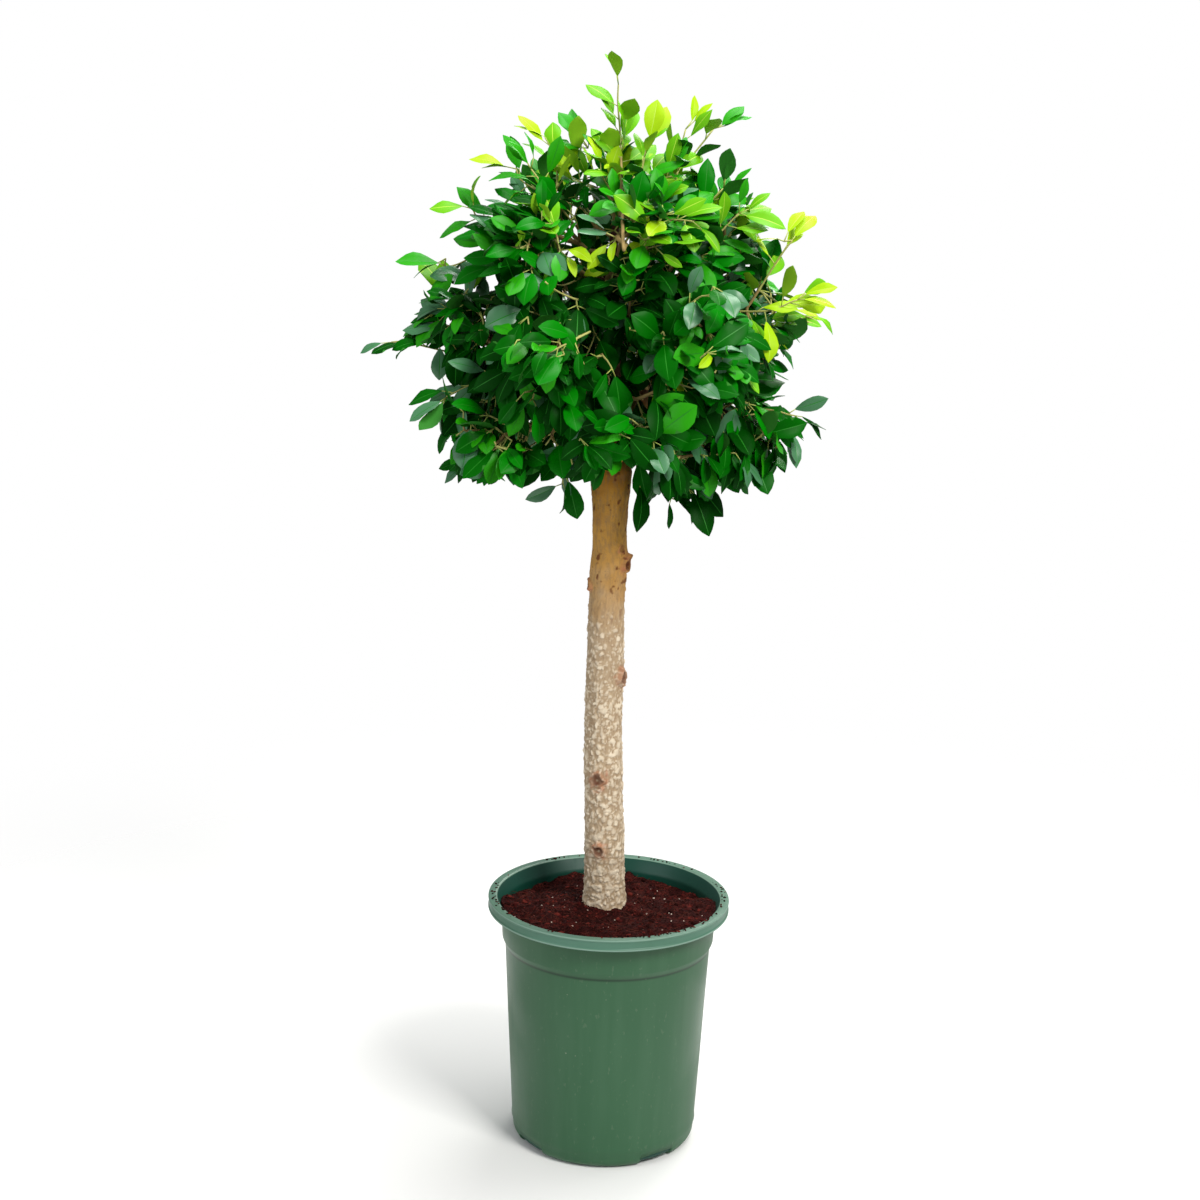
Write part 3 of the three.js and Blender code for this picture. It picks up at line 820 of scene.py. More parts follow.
@dataclass
class Soil:
    """The potting mix: an uneven surface with crumbs, pale grit and loose fibres on it."""

    mound: float = 13.0 * MM
    mound_spread: float = 62.0 * MM
    hollow: float = 7.0 * MM
    hollow_spread: float = 30.0 * MM
    hollows: tuple[tuple[float, float], ...] = ((-88 * MM, 74 * MM), (84 * MM, 66 * MM))
    level: float = 293.0 * MM
    heap: float = 13.0 * MM
    heap_from: float = 62.0 * MM
    heap_to: float = 0.0
    heap_overlap: float = 3.6 * MM
    edge_radius: float = 130.6 * MM
    rings: int = 96
    columns: int = 300
    crumbs: int = 2600
    grit: int = 60
    fibres: int = 420
    spilled: int = 130
    spills: tuple[float, ...] = tuple(map(math.radians, (24, 31, 52, -66, -84, 100, 150, -150)))
    seed: int = 21
    mix: PottingMix = PottingMix("potting_mix", colour(0.034, 0.0048, 0.0042), Sheen(0.95, 0.06))
    loose: tuple[Finish, ...] = (
        Finish("crumb_dark", colour(0.018, 0.0038, 0.003), Sheen(0.95, 0.06)),
        Finish("crumb_brown", colour(0.05, 0.0068, 0.0058), Sheen(0.95, 0.06)),
        Finish("crumb_rust", colour(0.12, 0.018, 0.013), Sheen(0.95, 0.08)),
    )
    perlite: Finish = Finish("perlite", colour(0.62, 0.5, 0.42), Sheen(0.85, 0.2))
    fibre: Finish = Finish("coco_fibre", colour(0.1, 0.024, 0.015), Sheen(0.9, 0.1))

    def height(self, x: Array, y: Array) -> Array:
        """Height of the surface: level + heap + mound - dips + three sizes of lumps.

        The mound and the dips are bells, height times exp(-(distance / spread)^2).

        Args:
            x: places across.
            y: places in depth.

        Returns:
            The heights.
        """
        stem = np.mean(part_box("trunk"), axis=0)
        mound = self.mound * np.exp(-((x - stem[0]) ** 2 + y**2) / self.mound_spread**2)
        dips = sum(
            self.hollow * np.exp(-((x - a) ** 2 + (y - b) ** 2) / self.hollow_spread**2) for a, b in self.hollows
        )
        level = np.stack([x, y, 0.0 * x], -1)
        heap = self.heap * ease(-y, -self.heap_from, -self.heap_to)
        heap = heap * ease(np.hypot(x, y), 40 * MM, 95 * MM)
        behind = ease(y, 20 * MM, 80 * MM)
        lumps = (2.4 + 2.2 * behind) * MM * LUMPS.at(level, 24 * MM) + 2.6 * MM * LUMPS.at(level + 1.0, 9 * MM)
        crust = 1.3 * MM * LUMPS.layered(level + 2.0, 4.2 * MM, 3)
        return self.level + heap + mound - dips + lumps + crust

    def build_bed(self) -> Object:
        """The surface with its skirt down the inside of the pot, closed below."""
        radii = self.edge_radius * np.linspace(1.0, 0.004, self.rings)
        directions = outwards(turns(self.columns))
        wider = 1.0 + self.heap_overlap / self.edge_radius * ease(-directions[:, 1:2], -0.45, 0.1)
        top = directions[None] * wider * radii[:, None, None]
        top[..., 2] = self.height(top[..., 0], top[..., 1])
        skirt = directions[None] * np.array([112 * MM, 124 * MM, 129.5 * MM])[:, None, None]
        skirt[..., 2] = np.array([12 * MM, 236 * MM, 266 * MM])[:, None]
        piece = closed_rings("potting_mix_bed", np.concatenate([skirt, top]), self.mix.material())
        return place_piece(piece, "potting_mix", "potting_soil")

    def scattered(self, random: Random, count: int, margin: float) -> Array:
        """Places spread evenly over the surface, clear of the stem: radius is the root of a share."""
        radius = self.edge_radius * np.sqrt(random.uniform(0.045, margin, count))
        places = outwards(random.uniform(0, 2 * math.pi, count)) * radius[:, None]
        places[:, 2] = self.height(places[:, 0], places[:, 1])
        return places

    @staticmethod
    def pebbles(random: Random, places: Array, sizes: Array) -> Pair:
        """Small uneven lumps: balls of 12 corners that are pushed about.

        Args:
            random: the number source.
            places: their middles.
            sizes: their half sizes.

        Returns:
            The points and the three-cornered faces.
        """
        ratio = (1 + math.sqrt(5)) / 2
        ball = [(-1, ratio, 0), (1, ratio, 0), (-1, -ratio, 0), (1, -ratio, 0)]
        corners = unit(np.array([np.roll(corner, turn) for turn in (0, 1, 2) for corner in ball], float))
        hull = convex_faces(corners)
        shapes = corners[None] * random.uniform(0.55, 1.25, (len(places), 12, 1))
        turn = random.uniform(0, 2 * math.pi, len(places))
        flat = [np.ones(len(places)), random.uniform(0.5, 1, len(places)), random.uniform(0.4, 0.8, len(places))]
        shapes = shapes * np.stack(flat, -1)[:, None]
        x = shapes[..., 0] * np.cos(turn)[:, None] - shapes[..., 1] * np.sin(turn)[:, None]
        y = shapes[..., 0] * np.sin(turn)[:, None] + shapes[..., 1] * np.cos(turn)[:, None]
        points = np.stack([x, y, shapes[..., 2]], -1) * sizes[:, None, None] + places[:, None]
        faces = hull[None] + 12 * np.arange(len(places))[:, None, None]
        return points.reshape(-1, 3), faces.reshape(-1, 3)

    def build_loose(self) -> None:
        """The crumbs, the grit and the fibres that lie on the surface, and crumbs on the rim."""
        random = np.random.default_rng(self.seed)
        places = self.scattered(random, self.crumbs, 0.985)
        sizes = random.uniform(0.6, 1.0, self.crumbs) ** 2
        sizes = sizes * random.choice([1.6, 2.8, 4.6], self.crumbs, p=[0.5, 0.38, 0.12]) * MM
        spill = random.choice(self.spills, self.spilled) + random.normal(0, 0.16, self.spilled)
        rim = outwards(np.where(random.uniform(0, 1, self.spilled) < 0.25, spill * 7, spill))
        rim = rim * random.triangular(140.5, 141.5, 147.5, self.spilled)[:, None] * MM
        rim[:, 2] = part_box("pot")[1][2] + 0.4 * MM
        places = np.concatenate([places, rim])
        sizes = np.concatenate([sizes, random.uniform(0.7, 2.2, self.spilled) * MM])
        points, faces = self.pebbles(random, places, sizes)
        tones = np.repeat(random.choice(3, len(places), p=[0.5, 0.36, 0.14]), 20)
        browns = [finish.material() for finish in self.loose]
        place_piece(make_piece("soil_crumbs", points, [Faces(faces, tones)], browns, smooth=False), "potting_mix")
        places = self.scattered(random, self.grit, 0.96)
        points, faces = self.pebbles(random, places, random.uniform(0.5, 1.0, self.grit) ** 2 * 1.9 * MM)
        grit = make_piece("perlite_grit", points, [Faces(faces)], [self.perlite.material()], smooth=False)
        place_piece(grit, "potting_mix")
        self.build_fibres(random)

    def build_fibres(self, random: Random) -> None:
        """Bent loose fibres: each a three-sided tube on an arc that lifts from the surface."""
        places = self.scattered(random, self.fibres, 0.93)
        headings = random.uniform(0, 2 * math.pi, self.fibres)
        reaches = random.uniform(5, 15, self.fibres) * MM
        bends = random.uniform(-1.2, 1.2, self.fibres)
        lifts = random.uniform(-0.1, 0.45, self.fibres)
        share = np.linspace(0.0, 1.0, 5)
        tubes = Tubes()
        for number in range(self.fibres):
            steps = outwards(headings[number] + bends[number] * share) * reaches[number] / 4
            path = places[number] + np.cumsum(steps, axis=0)
            path[:, 2] = self.height(path[:, 0], path[:, 1]) + 0.4 * MM + lifts[number] * reaches[number] * share
            tubes.add(tube_points(path, np.full(5, 0.22 * MM), 3))
        place_piece(tubes.piece("coco_fibres", self.fibre.material()), "potting_mix")


def convex_faces(corners: Array) -> Array:
    """The faces of a regular 12-cornered ball: corners an edge apart, turning left from outside."""
    apart = norm(corners[:, None] - corners[None])
    near = (apart < apart[apart > 0.1].min() * 1.01) & (apart > 0.1)
    faces = []
    for a, b, c in itertools.combinations(range(12), 3):
        if near[a, b] and near[b, c] and near[a, c]:
            normal = np.cross(corners[b] - corners[a], corners[c] - corners[a])
            faces.append((a, b, c) if normal @ corners[a] > 0 else (a, c, b))
    return np.array(faces)


LUMPS = Lumps(5)


# ---- the stem and the boughs ----


@dataclass(frozen=True)
class Knot:
    """A healed branch scar: its height as a share of the stem, azimuth in degrees, radius and depth."""

    share: float
    azimuth: float
    radius: float
    rise: float
    dark: float = 1.0


def packed_surface(node: str) -> Pair:
    """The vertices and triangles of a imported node."""
    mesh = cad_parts[node].data
    points = np.empty(len(mesh.vertices) * 3)
    mesh.vertices.foreach_get("co", points)
    mesh.calc_loop_triangles()
    corners = np.empty(len(mesh.loop_triangles) * 3, np.int32)
    mesh.loop_triangles.foreach_get("vertices", corners)
    return points.reshape(-1, 3), corners.reshape(-1, 3)


def centreline(node: str, origin: Array, slices: int) -> Pair:
    """The line along the middle of a packed limb, and its radius, from its near end to its tip.

    Each slice of its surface gives its mean place, and the mean distance from that place.

    Args:
        node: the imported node.
        origin: where the limb leads away from.
        slices: how many places to give.

    Returns:
        The places and the radii.
    """
    points, triangles = packed_surface(node)
    random = np.random.default_rng(len(node))
    samples, _ = surface_samples(points, triangles, 2400, random)
    away = norm(samples - origin)
    edges = np.linspace(away.min(), away.max() + 1e-9, slices + 1)
    which = np.clip(np.digitize(away, edges) - 1, 0, slices - 1)
    places = np.array([samples[which == i].mean(axis=0) for i in range(slices)])
    radii = [norm(samples[which == i] - places[i]).mean() for i in range(slices)]
    return places, np.array(radii)


def surface_samples(
    points: Array, triangles: Array, count: int, random: Random
) -> Pair:
    """Places spread evenly over a surface, with its direction at each.

    Args:
        points: the vertices.
        triangles: their triangles, each picked by its area.
        count: how many places.
        random: the number source.

    Returns:
        The places and the outward directions.
    """
    a, b, c = (points[triangles[:, i]] for i in range(3))
    normals = np.cross(b - a, c - a)
    areas = norm(normals)
    picked = random.choice(len(triangles), count, p=areas / areas.sum())
    shares = random.uniform(0, 1, (count, 2))
    folded = np.where(shares.sum(axis=1, keepdims=True) > 1, 1 - shares, shares)
    places = a[picked] + (b - a)[picked] * folded[:, :1] + (c - a)[picked] * folded[:, 1:]
    return places, unit(normals)[picked]


@dataclass
class Stem:
    """The bare stem with its bark in relief, from the mix up to the fork; the boughs take its bark."""

    columns: int = 144
    rows: int = 600
    crotch: float = 20.0 * MM
    mean_radius: float = 23.0 * MM
    knots: tuple[Knot, ...] = (
        Knot(0.801, 70, 9.5 * MM, 5.2 * MM),
        Knot(0.751, -86, 7.5 * MM, 3.0 * MM),
        Knot(0.545, 70, 9.5 * MM, 4.2 * MM, 0.95),
        Knot(0.311, -21, 9.5 * MM, 2.6 * MM, 0.95),
        Knot(0.146, -16, 9.0 * MM, 2.6 * MM, 1.0),
        Knot(0.648, 168, 8.0 * MM, 2.4 * MM, 0.8),
        Knot(0.388, -150, 8.5 * MM, 2.4 * MM, 0.8),
        Knot(0.835, 42, 4.6 * MM, 1.2 * MM, 0.7),
        Knot(0.79, 200, 5.0 * MM, 1.2 * MM, 0.8),
    )
    foot_narrowing: float = 0.055
    fork_narrowing: float = 0.09
    bark: Bark = Bark("bark", colour(0.47, 0.35, 0.225), Sheen(0.8, 0.2))

    def __post_init__(self) -> None:
        """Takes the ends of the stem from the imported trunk."""
        low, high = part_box("trunk")
        self.foot, self.top = float(low[2]), float(high[2])
        self.axis = (float(low[0] + high[0]) / 2, float(low[1] + high[1]) / 2)

    def measured(self) -> Pair:
        """The stem's centre and its radius all round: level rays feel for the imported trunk.

        Returns:
            The centres, and the radii, height by azimuth.
        """
        points, triangles = packed_surface("trunk")
        tree = BVHTree.FromPolygons([Vector(p) for p in points], triangles.tolist())
        heights = np.linspace(self.foot + 1.2 * MM, self.top - 1.2 * MM, 70)
        directions = outwards(turns(32))
        middles, radii = [], []
        for height in heights:
            middle = np.array([*self.axis, height])
            for _ in range(2):
                ends = [tree.ray_cast(Vector(middle), Vector(d))[0] for d in directions]
                ends = np.array([end if end is not None else middle for end in ends])
                middle = np.array([ends[:, 0].mean(), ends[:, 1].mean(), height])
            middles.append(middle)
            radii.append(norm(ends - middle))
        return np.array(middles), np.array(radii)

    @staticmethod
    def flakes(around: Array, up: Array, girth: float, cell: float, flaky: Array, seed: int) -> Array:
        """Height of small round flakes, from 0 to 1.

        Each square cell of the bark holds one flake, which only a flaky place shows. Its height is the
        root of 1 minus the square of the distance from its middle over its size.

        Args:
            around: places round the stem.
            up: places up the stem.
            girth: the length once round.
            cell: the size of a cell.
            flaky: the share of the cells that show their flake.
            seed: picks the flakes.

        Returns:
            The heights.
        """
        random = np.random.default_rng(seed)
        columns = max(3, round(girth / cell))
        rows = int(up.max() / cell) + 3
        middles = random.uniform(0.0, 1.0, (rows, columns, 2))
        sizes = random.uniform(0.28, 0.66, (rows, columns))
        stretch = random.uniform(0.7, 1.5, (rows, columns))
        order = random.uniform(0.0, 1.0, (rows, columns))
        x, y = around / girth * columns, up / cell
        height = np.zeros(np.broadcast(x, y).shape)
        for row_step, column_step in itertools.product((-1, 0, 1), repeat=2):
            row = np.clip(np.floor(y).astype(int) + row_step, 0, rows - 1)
            column = np.floor(x).astype(int) + column_step
            index = (row, column % columns)
            away_x = (x - column - middles[index][..., 0]) * stretch[index]
            away_y = (y - row - middles[index][..., 1]) / stretch[index]
            apart = np.sqrt(away_x**2 + away_y**2) / sizes[index]
            dome = np.sqrt(np.clip(1.0 - apart**2, 0.0, 1.0)) * (order[index] < flaky)
            height = np.maximum(height, dome * (0.4 + 0.6 * order[index] / np.maximum(flaky, 0.1)).clip(0, 1))
        return height

    def relief(self, places: Array, azimuths: Array, flaky: Array) -> Pair:
        """Height of the bark: wide swellings, long ridges, a grain and flakes of two sizes.

        Args:
            places: points on the smooth stem.
            azimuths: the direction of each column.
            flaky: how flaky each place is.

        Returns:
            The heights and the flake shares.
        """
        ridges = LUMPS.at(places, (5 * MM, 5 * MM, 20 * MM)) * 0.45
        ridges = ridges + LUMPS.at(places, (2.2 * MM, 2.2 * MM, 7 * MM)) * 0.3
        swellings = LUMPS.at(places + 3.0, (18 * MM, 18 * MM, 40 * MM)) * 0.7
        girth = 2 * math.pi * self.mean_radius
        bend = 1.6 * MM * LUMPS.at(places + 4.0, 7 * MM) + 0.9 * MM * LUMPS.at(places + 4.3, 2.6 * MM)
        around = np.broadcast_to(azimuths * self.mean_radius, flaky.shape) + bend
        up = places[..., 2] - self.foot + 6 * MM + 1.5 * MM * LUMPS.at(places + 4.6, 6 * MM)
        up = up + 0.9 * MM * LUMPS.at(places + 4.9, 2.6 * MM)
        large = self.flakes(around % girth, up, girth, 6.4 * MM, 0.85 * flaky, 31)
        small = self.flakes(around % girth, up, girth, 3.7 * MM, 0.1 + 0.8 * flaky, 32)
        small = small * ease(flaky, 0.0, 0.3)
        tint = 0.8 + 0.25 * LUMPS.at(places + 11.0, 9 * MM)
        flake = np.maximum(ease(large, 0.12, 0.7), 0.75 * ease(small, 0.2, 0.85)) * tint
        flake = flake * ease(flaky, 0.03, 0.45)
        grain = 0.22 * LUMPS.at(places + 8.0, 1.5 * MM)
        return (ridges + swellings + grain + 1.5 * large + 0.8 * small - 1.0) * MM, flake

    def build(self) -> Object:
        """The stem: measured radius + relief + knots, with a domed top between the boughs."""
        centres, radii = self.measured()
        rows = np.linspace(0.0, 1.0, self.rows)
        rings = np.linspace(0.0, 1.0, len(centres))
        azimuths = turns(self.columns)
        centre = between(rows, rings, centres)
        centre[:, 2] = self.foot + rows * (self.top + self.crotch - self.foot)
        share = (centre[:, 2] - self.foot) / (self.top - self.foot)
        wide = np.concatenate([radii, radii[:, :1]], axis=1)
        around = between(azimuths, np.linspace(0, 2 * math.pi, wide.shape[1]), wide.T).T
        around = (np.roll(around, 2, 1) + np.roll(around, -2, 1) + 2 * around) / 4
        radius = between(np.clip(share, 0, 1), rings, around)
        above = np.clip((share - 1.0) * (self.top - self.foot) / self.crotch, 0, 1)
        dome = np.sqrt(np.clip(1.0 - above**2, 1e-4, 1))
        left = 0.5 - 0.5 * np.cos(azimuths)[None]
        radius = radius * (1.0 - self.foot_narrowing * (1.0 - ease(share, 0.0, 0.16)))[:, None]
        narrowing = self.fork_narrowing * ease(share, 0.86, 1.0)[:, None]
        radius = radius * (1.0 - narrowing * left) * dome[:, None]
        directions = outwards(azimuths)
        smooth = centre[:, None] + directions[None] * radius[..., None]
        lower = 1.0 - ease(share, 0.5, 0.82)
        patchy = 0.5 + 0.5 * LUMPS.at(smooth + 9.0, (16 * MM, 16 * MM, 30 * MM))
        # More cream flakes towards the right, the side the light falls on: partly the bark's own flakes, partly
        # painted light.
        side = 0.12 * np.sin(azimuths - 0.3)[None]
        fewer = (1.0 - 0.22 * ease(share, 0.1, 0.6))[:, None]
        flaky = lower[:, None] * (0.62 + 0.45 * patchy + side) * fewer
        height, flake = self.relief(smooth, azimuths, flaky)
        blotch = LUMPS.at(smooth + 21.0, (6 * MM, 6 * MM, 9 * MM)) + 0.5 * LUMPS.at(smooth + 22.0, 3 * MM)
        blotch = ease(blotch, 0.5, 0.85) * ease(share, 0.62, 0.78)[:, None] * 0.85
        height = height + 0.5 * MM * blotch
        scar, callus = np.zeros_like(height), np.zeros_like(height)
        for knot in self.knots:
            turn = azimuths - math.radians(knot.azimuth)
            turn = np.arctan2(np.sin(turn), np.cos(turn))
            sideways = turn[None] * radius
            upwards = (centre[:, 2] - (self.foot + knot.share * (self.top - self.foot)))[:, None] / 1.12
            apart = np.sqrt(sideways**2 + upwards**2) / knot.radius
            apart = apart * (1.0 + 0.34 * LUMPS.at(smooth + knot.share, 5 * MM))
            ring = np.exp(-(((apart - 0.72) / 0.3) ** 2))
            pit = np.exp(-((apart / 0.4) ** 2))
            height = height * (1.0 - 0.6 * np.exp(-(apart**4)))
            lip = 0.75 + 0.5 * LUMPS.at(smooth + 3 * knot.share, 8 * MM)
            height = height + knot.rise * (ring * lip - 0.7 * pit)
            height = height + 0.25 * knot.rise * np.sin(apart * 9.0) * np.exp(-((apart - 0.9) ** 2) / 0.2)
            eye = np.exp(-(((apart - 0.42) / 0.34) ** 4)) * (0.8 + 0.2 * LUMPS.at(smooth + knot.share, 2.5 * MM))
            scar = np.maximum(scar, knot.dark * eye)
            around = np.exp(-(((apart - 0.95) / 0.3) ** 2))
            around = around * (0.55 + 0.45 * LUMPS.at(smooth + 2 * knot.share, 4 * MM))
            callus = np.maximum(callus, around * min(1.0, knot.radius / (6 * MM)))
        points = smooth + directions[None] * height[..., None] * np.maximum(dome, 0.05)[:, None, None]
        piece = closed_rings("stem", points, self.bark.material())
        write_shares(piece, flake=flake * (1 - scar) * 0.85, blotch=blotch, scar=scar, callus=callus * 0.85)
        return place_piece(piece, "bark", "trunk")


# ---- growth ----


@dataclass(frozen=True)
class ShootHabit:
    """How a leafy shoot grows: how much of it is bare, and how far apart its leaves stand."""

    bare: float = 0.25
    spacing: float = 13.0 * MM
    leaf: float = 1.0
    lean: float = 0.0
    shift: Triple = (0.0, 0.0, 0.0)
    root: Triple | None = None
    fresh: float = 0.35
    brightest: float = 9.0


class Skeleton:
    """The limbs as a tree of places: each place has the number of the place that it grew from."""

    ROOM = 20000

    def __init__(self) -> None:
        """Starts with no places."""
        self.places = np.zeros((self.ROOM, 3))
        self.parents = np.full(self.ROOM, -1)
        self.least = np.zeros(self.ROOM)
        self.shoot = np.full(self.ROOM, -1)
        self.leafy = np.ones(self.ROOM, bool)
        self.count = 0

    def add(self, place: Array, parent: int, least: float = 0.0, shoot: int = -1, leafy: bool = True) -> int:
        """Adds one place.

        Args:
            place: where it is.
            parent: the number of the place it grew from, or -1.
            least: the least radius of the limb there.
            shoot: the number of the shoot that it belongs to, or -1.
            leafy: whether it may carry a leaf.

        Returns:
            Its number.
        """
        number, self.count = self.count, self.count + 1
        self.places[number], self.parents[number], self.least[number] = place, parent, least
        self.shoot[number], self.leafy[number] = shoot, leafy
        return number

    def nearest(self, place: Array) -> int:
        """The number of the place nearest to another."""
        return int(np.argmin(norm(self.places[: self.count] - place)))

    def grow_towards(
        self, goals: Array, step: float, reached: float, keep: float, random: Random
    ) -> None:
        """Branches out until every goal is reached.

        Each goal pulls at the place nearest to it. That place puts out a new one in the mean
        direction of its goals, bent towards the way it came, and later side twigs straight at its
        nearest goal.

        Args:
            goals: where foliage is wanted.
            step: the distance between places.
            reached: how near a place must come to a goal.
            keep: how strongly growth keeps to its direction.
            random: the number source.
        """
        start = self.places[: self.count]
        apart = norm(goals[:, None] - start[None])
        owner, gap = apart.argmin(axis=1), apart.min(axis=1)
        tries = np.zeros(self.ROOM, int)
        for _ in range(150):
            pulling = np.flatnonzero(gap > reached)
            if not len(pulling) or self.count > self.ROOM - 2000:
                break
            pull = unit(goals[pulling] - self.places[owner[pulling]])
            sums = np.zeros((self.count, 3))
            np.add.at(sums, owner[pulling], pull)
            pulled = np.unique(owner[pulling])
            far_first = pulling[np.argsort(-gap[pulling])]
            nearest = np.zeros((self.count, 3))
            nearest[owner[far_first]] = unit(goals[far_first] - self.places[owner[far_first]])
            came = unit(self.places[pulled] - self.places[np.maximum(self.parents[pulled], 0)])
            came[self.parents[pulled] < 0] = 0.0
            ways = unit(sums[pulled]) + keep * came + random.normal(0, 0.13, (len(pulled), 3))
            ways = np.where(tries[pulled, None] > 0, nearest[pulled], ways)
            tries[pulled] += 1
            first = self.count
            for parent, way in zip(pulled, unit(ways)):
                self.add(self.places[parent] + way * step, int(parent))
            apart = norm(goals[:, None] - self.places[None, first : self.count])
            nearer = apart.min(axis=1)
            owner = np.where(nearer < gap, apart.argmin(axis=1) + first, owner)
            gap = np.minimum(gap, nearer)

    def relax(self, rounds: int, held: int) -> None:
        """Straightens the limbs: each place moves towards the middle of its parent and its children.

        Args:
            rounds: how often.
            held: how many of the first places stay where they are.
        """
        numbers = np.arange(held, self.count)
        parents = self.parents[numbers]
        for _ in range(rounds):
            sums, counts = np.zeros((self.count, 3)), np.zeros(self.count)
            np.add.at(sums, parents, self.places[numbers])
            np.add.at(counts, parents, 1.0)
            inner = numbers[counts[numbers] > 0]
            middle = (sums[inner] / counts[inner, None] + self.places[self.parents[inner]]) / 2
            self.places[inner] = 0.45 * self.places[inner] + 0.55 * middle

    def thicken(self, tip: float, power: float, growth: float) -> Pair:
        """The radius of the limb at every place, and the steps to the farthest tip above it.

        The power of a radius is the sum of the powers of what grows from it. A step adds to it.

        Args:
            tip: the radius of a tip.
            power: the power that adds up at a fork.
            growth: the radius gained in a step.

        Returns:
            The radii and the steps.
        """
        sums, radii = np.zeros(self.count), np.zeros(self.count)
        ranks = np.zeros(self.count, int)
        for number in range(self.count - 1, -1, -1):
            grown = (sums[number] ** (1 / power) + growth) if sums[number] > 0 else tip
            radii[number] = max(grown, self.least[number])
            parent = self.parents[number]
            if parent >= 0:
                sums[parent] += grown**power
                ranks[parent] = max(ranks[parent], ranks[number] + 1)
        return radii, ranks

    def chains(self, radii: Array) -> list[list[int]]:
        """The tree as unbranched runs: each goes on into the thickest limb at every fork."""
        kids: list[list[int]] = [[] for _ in range(self.count)]
        runs, starts = [], []
        for number, parent in enumerate(self.parents[: self.count].tolist()):
            (starts if parent < 0 else kids[parent]).append((number, -1) if parent < 0 else number)
        while starts:
            number, parent = starts.pop()
            run = [parent, number] if parent >= 0 else [number]
            while kids[number]:
                order = sorted(kids[number], key=lambda kid: -radii[kid])
                starts += [(kid, number) for kid in order[1:]]
                number = order[0]
                run.append(number)
            runs.append(run)
        return runs


# ---- leaves ----


class Tone(Enum):
    """Colours of a leaf's upper side, from old and shaded to new."""

    DEEP = 0
    DARK = 1
    GREEN = 2
    FRESH = 3
    BRIGHT = 4
    LIME = 5
    # A grey-green tone that is painted sheen: the sky's reflection on glossy leaves, laid into the colour of some
    # sprays.
    SILVER = 6


@dataclass(frozen=True)
class LeafFinishes:
    """The finishes of the leaves: one upper side for each tone, two undersides, two ribs, a stalk."""

    upper: tuple[Finish, ...] = (
        Finish("leaf_deep", colour(0.001, 0.052, 0.001), Sheen(0.42, 0.04)),
        Finish("leaf_dark", colour(0.001, 0.1, 0.001), Sheen(0.38, 0.05)),
        Finish("leaf_green", colour(0.001, 0.17, 0.001), Sheen(0.38, 0.07)),
        Finish("leaf_fresh", colour(0.018, 0.28, 0.002), Sheen(0.38, 0.14)),
        Finish("leaf_bright", colour(0.12, 0.4, 0.003), Sheen(0.42, 0.14)),
        Finish("leaf_lime", colour(0.33, 0.56, 0.004), Sheen(0.45, 0.14)),
        # Painted sheen: a grey-green that stands for glossy leaves reflecting the sky.
        Finish("leaf_silver", colour(0.055, 0.19, 0.08), Sheen(0.34, 0.4)),
    )
    under: tuple[Finish, ...] = (
        Finish("leaf_under", colour(0.03, 0.19, 0.02), Sheen(0.6, 0.1)),
        Finish("leaf_under_young", colour(0.27, 0.52, 0.02), Sheen(0.55, 0.15)),
    )
    rib: tuple[Finish, ...] = (
        Finish("leaf_rib", colour(0.012, 0.19, 0.008), Sheen(0.45, 0.2)),
        Finish("leaf_rib_young", colour(0.42, 0.62, 0.06), Sheen(0.45, 0.2)),
    )
    stalk: Finish = Finish("leaf_stalk", colour(0.38, 0.44, 0.1), Sheen(0.5, 0.3))

    def materials(self) -> list[Material]:
        """All the leaf materials in their order."""
        finishes = (*self.upper, *self.under, *self.rib, self.stalk)
        return [finish.material() for finish in finishes]

    @staticmethod
    def numbers(tones: Array) -> Array:
        """The finish numbers of upper side, underside, rib and stalk for each leaf's tone."""
        count = len(Tone)
        pale = ((tones >= Tone.BRIGHT.value) & (tones != Tone.SILVER.value)).astype(int)
        return np.stack([tones, count + pale, count + 2 + pale, np.full_like(tones, count + 4)], -1)


@dataclass
class Leaves:
    """Leaves as arrays: one row for each leaf."""

    node: Array
    base: Array
    axis: Array
    normal: Array
    length: Array
    width: Array
    fold: Array
    bend: Array
    ripple: Array
    phase: Array
    tone: Array

    def chosen(self, mask: Array) -> Leaves:
        """The leaves that a mask picks."""
        return Leaves(**{name: values[mask] for name, values in vars(self).items()})


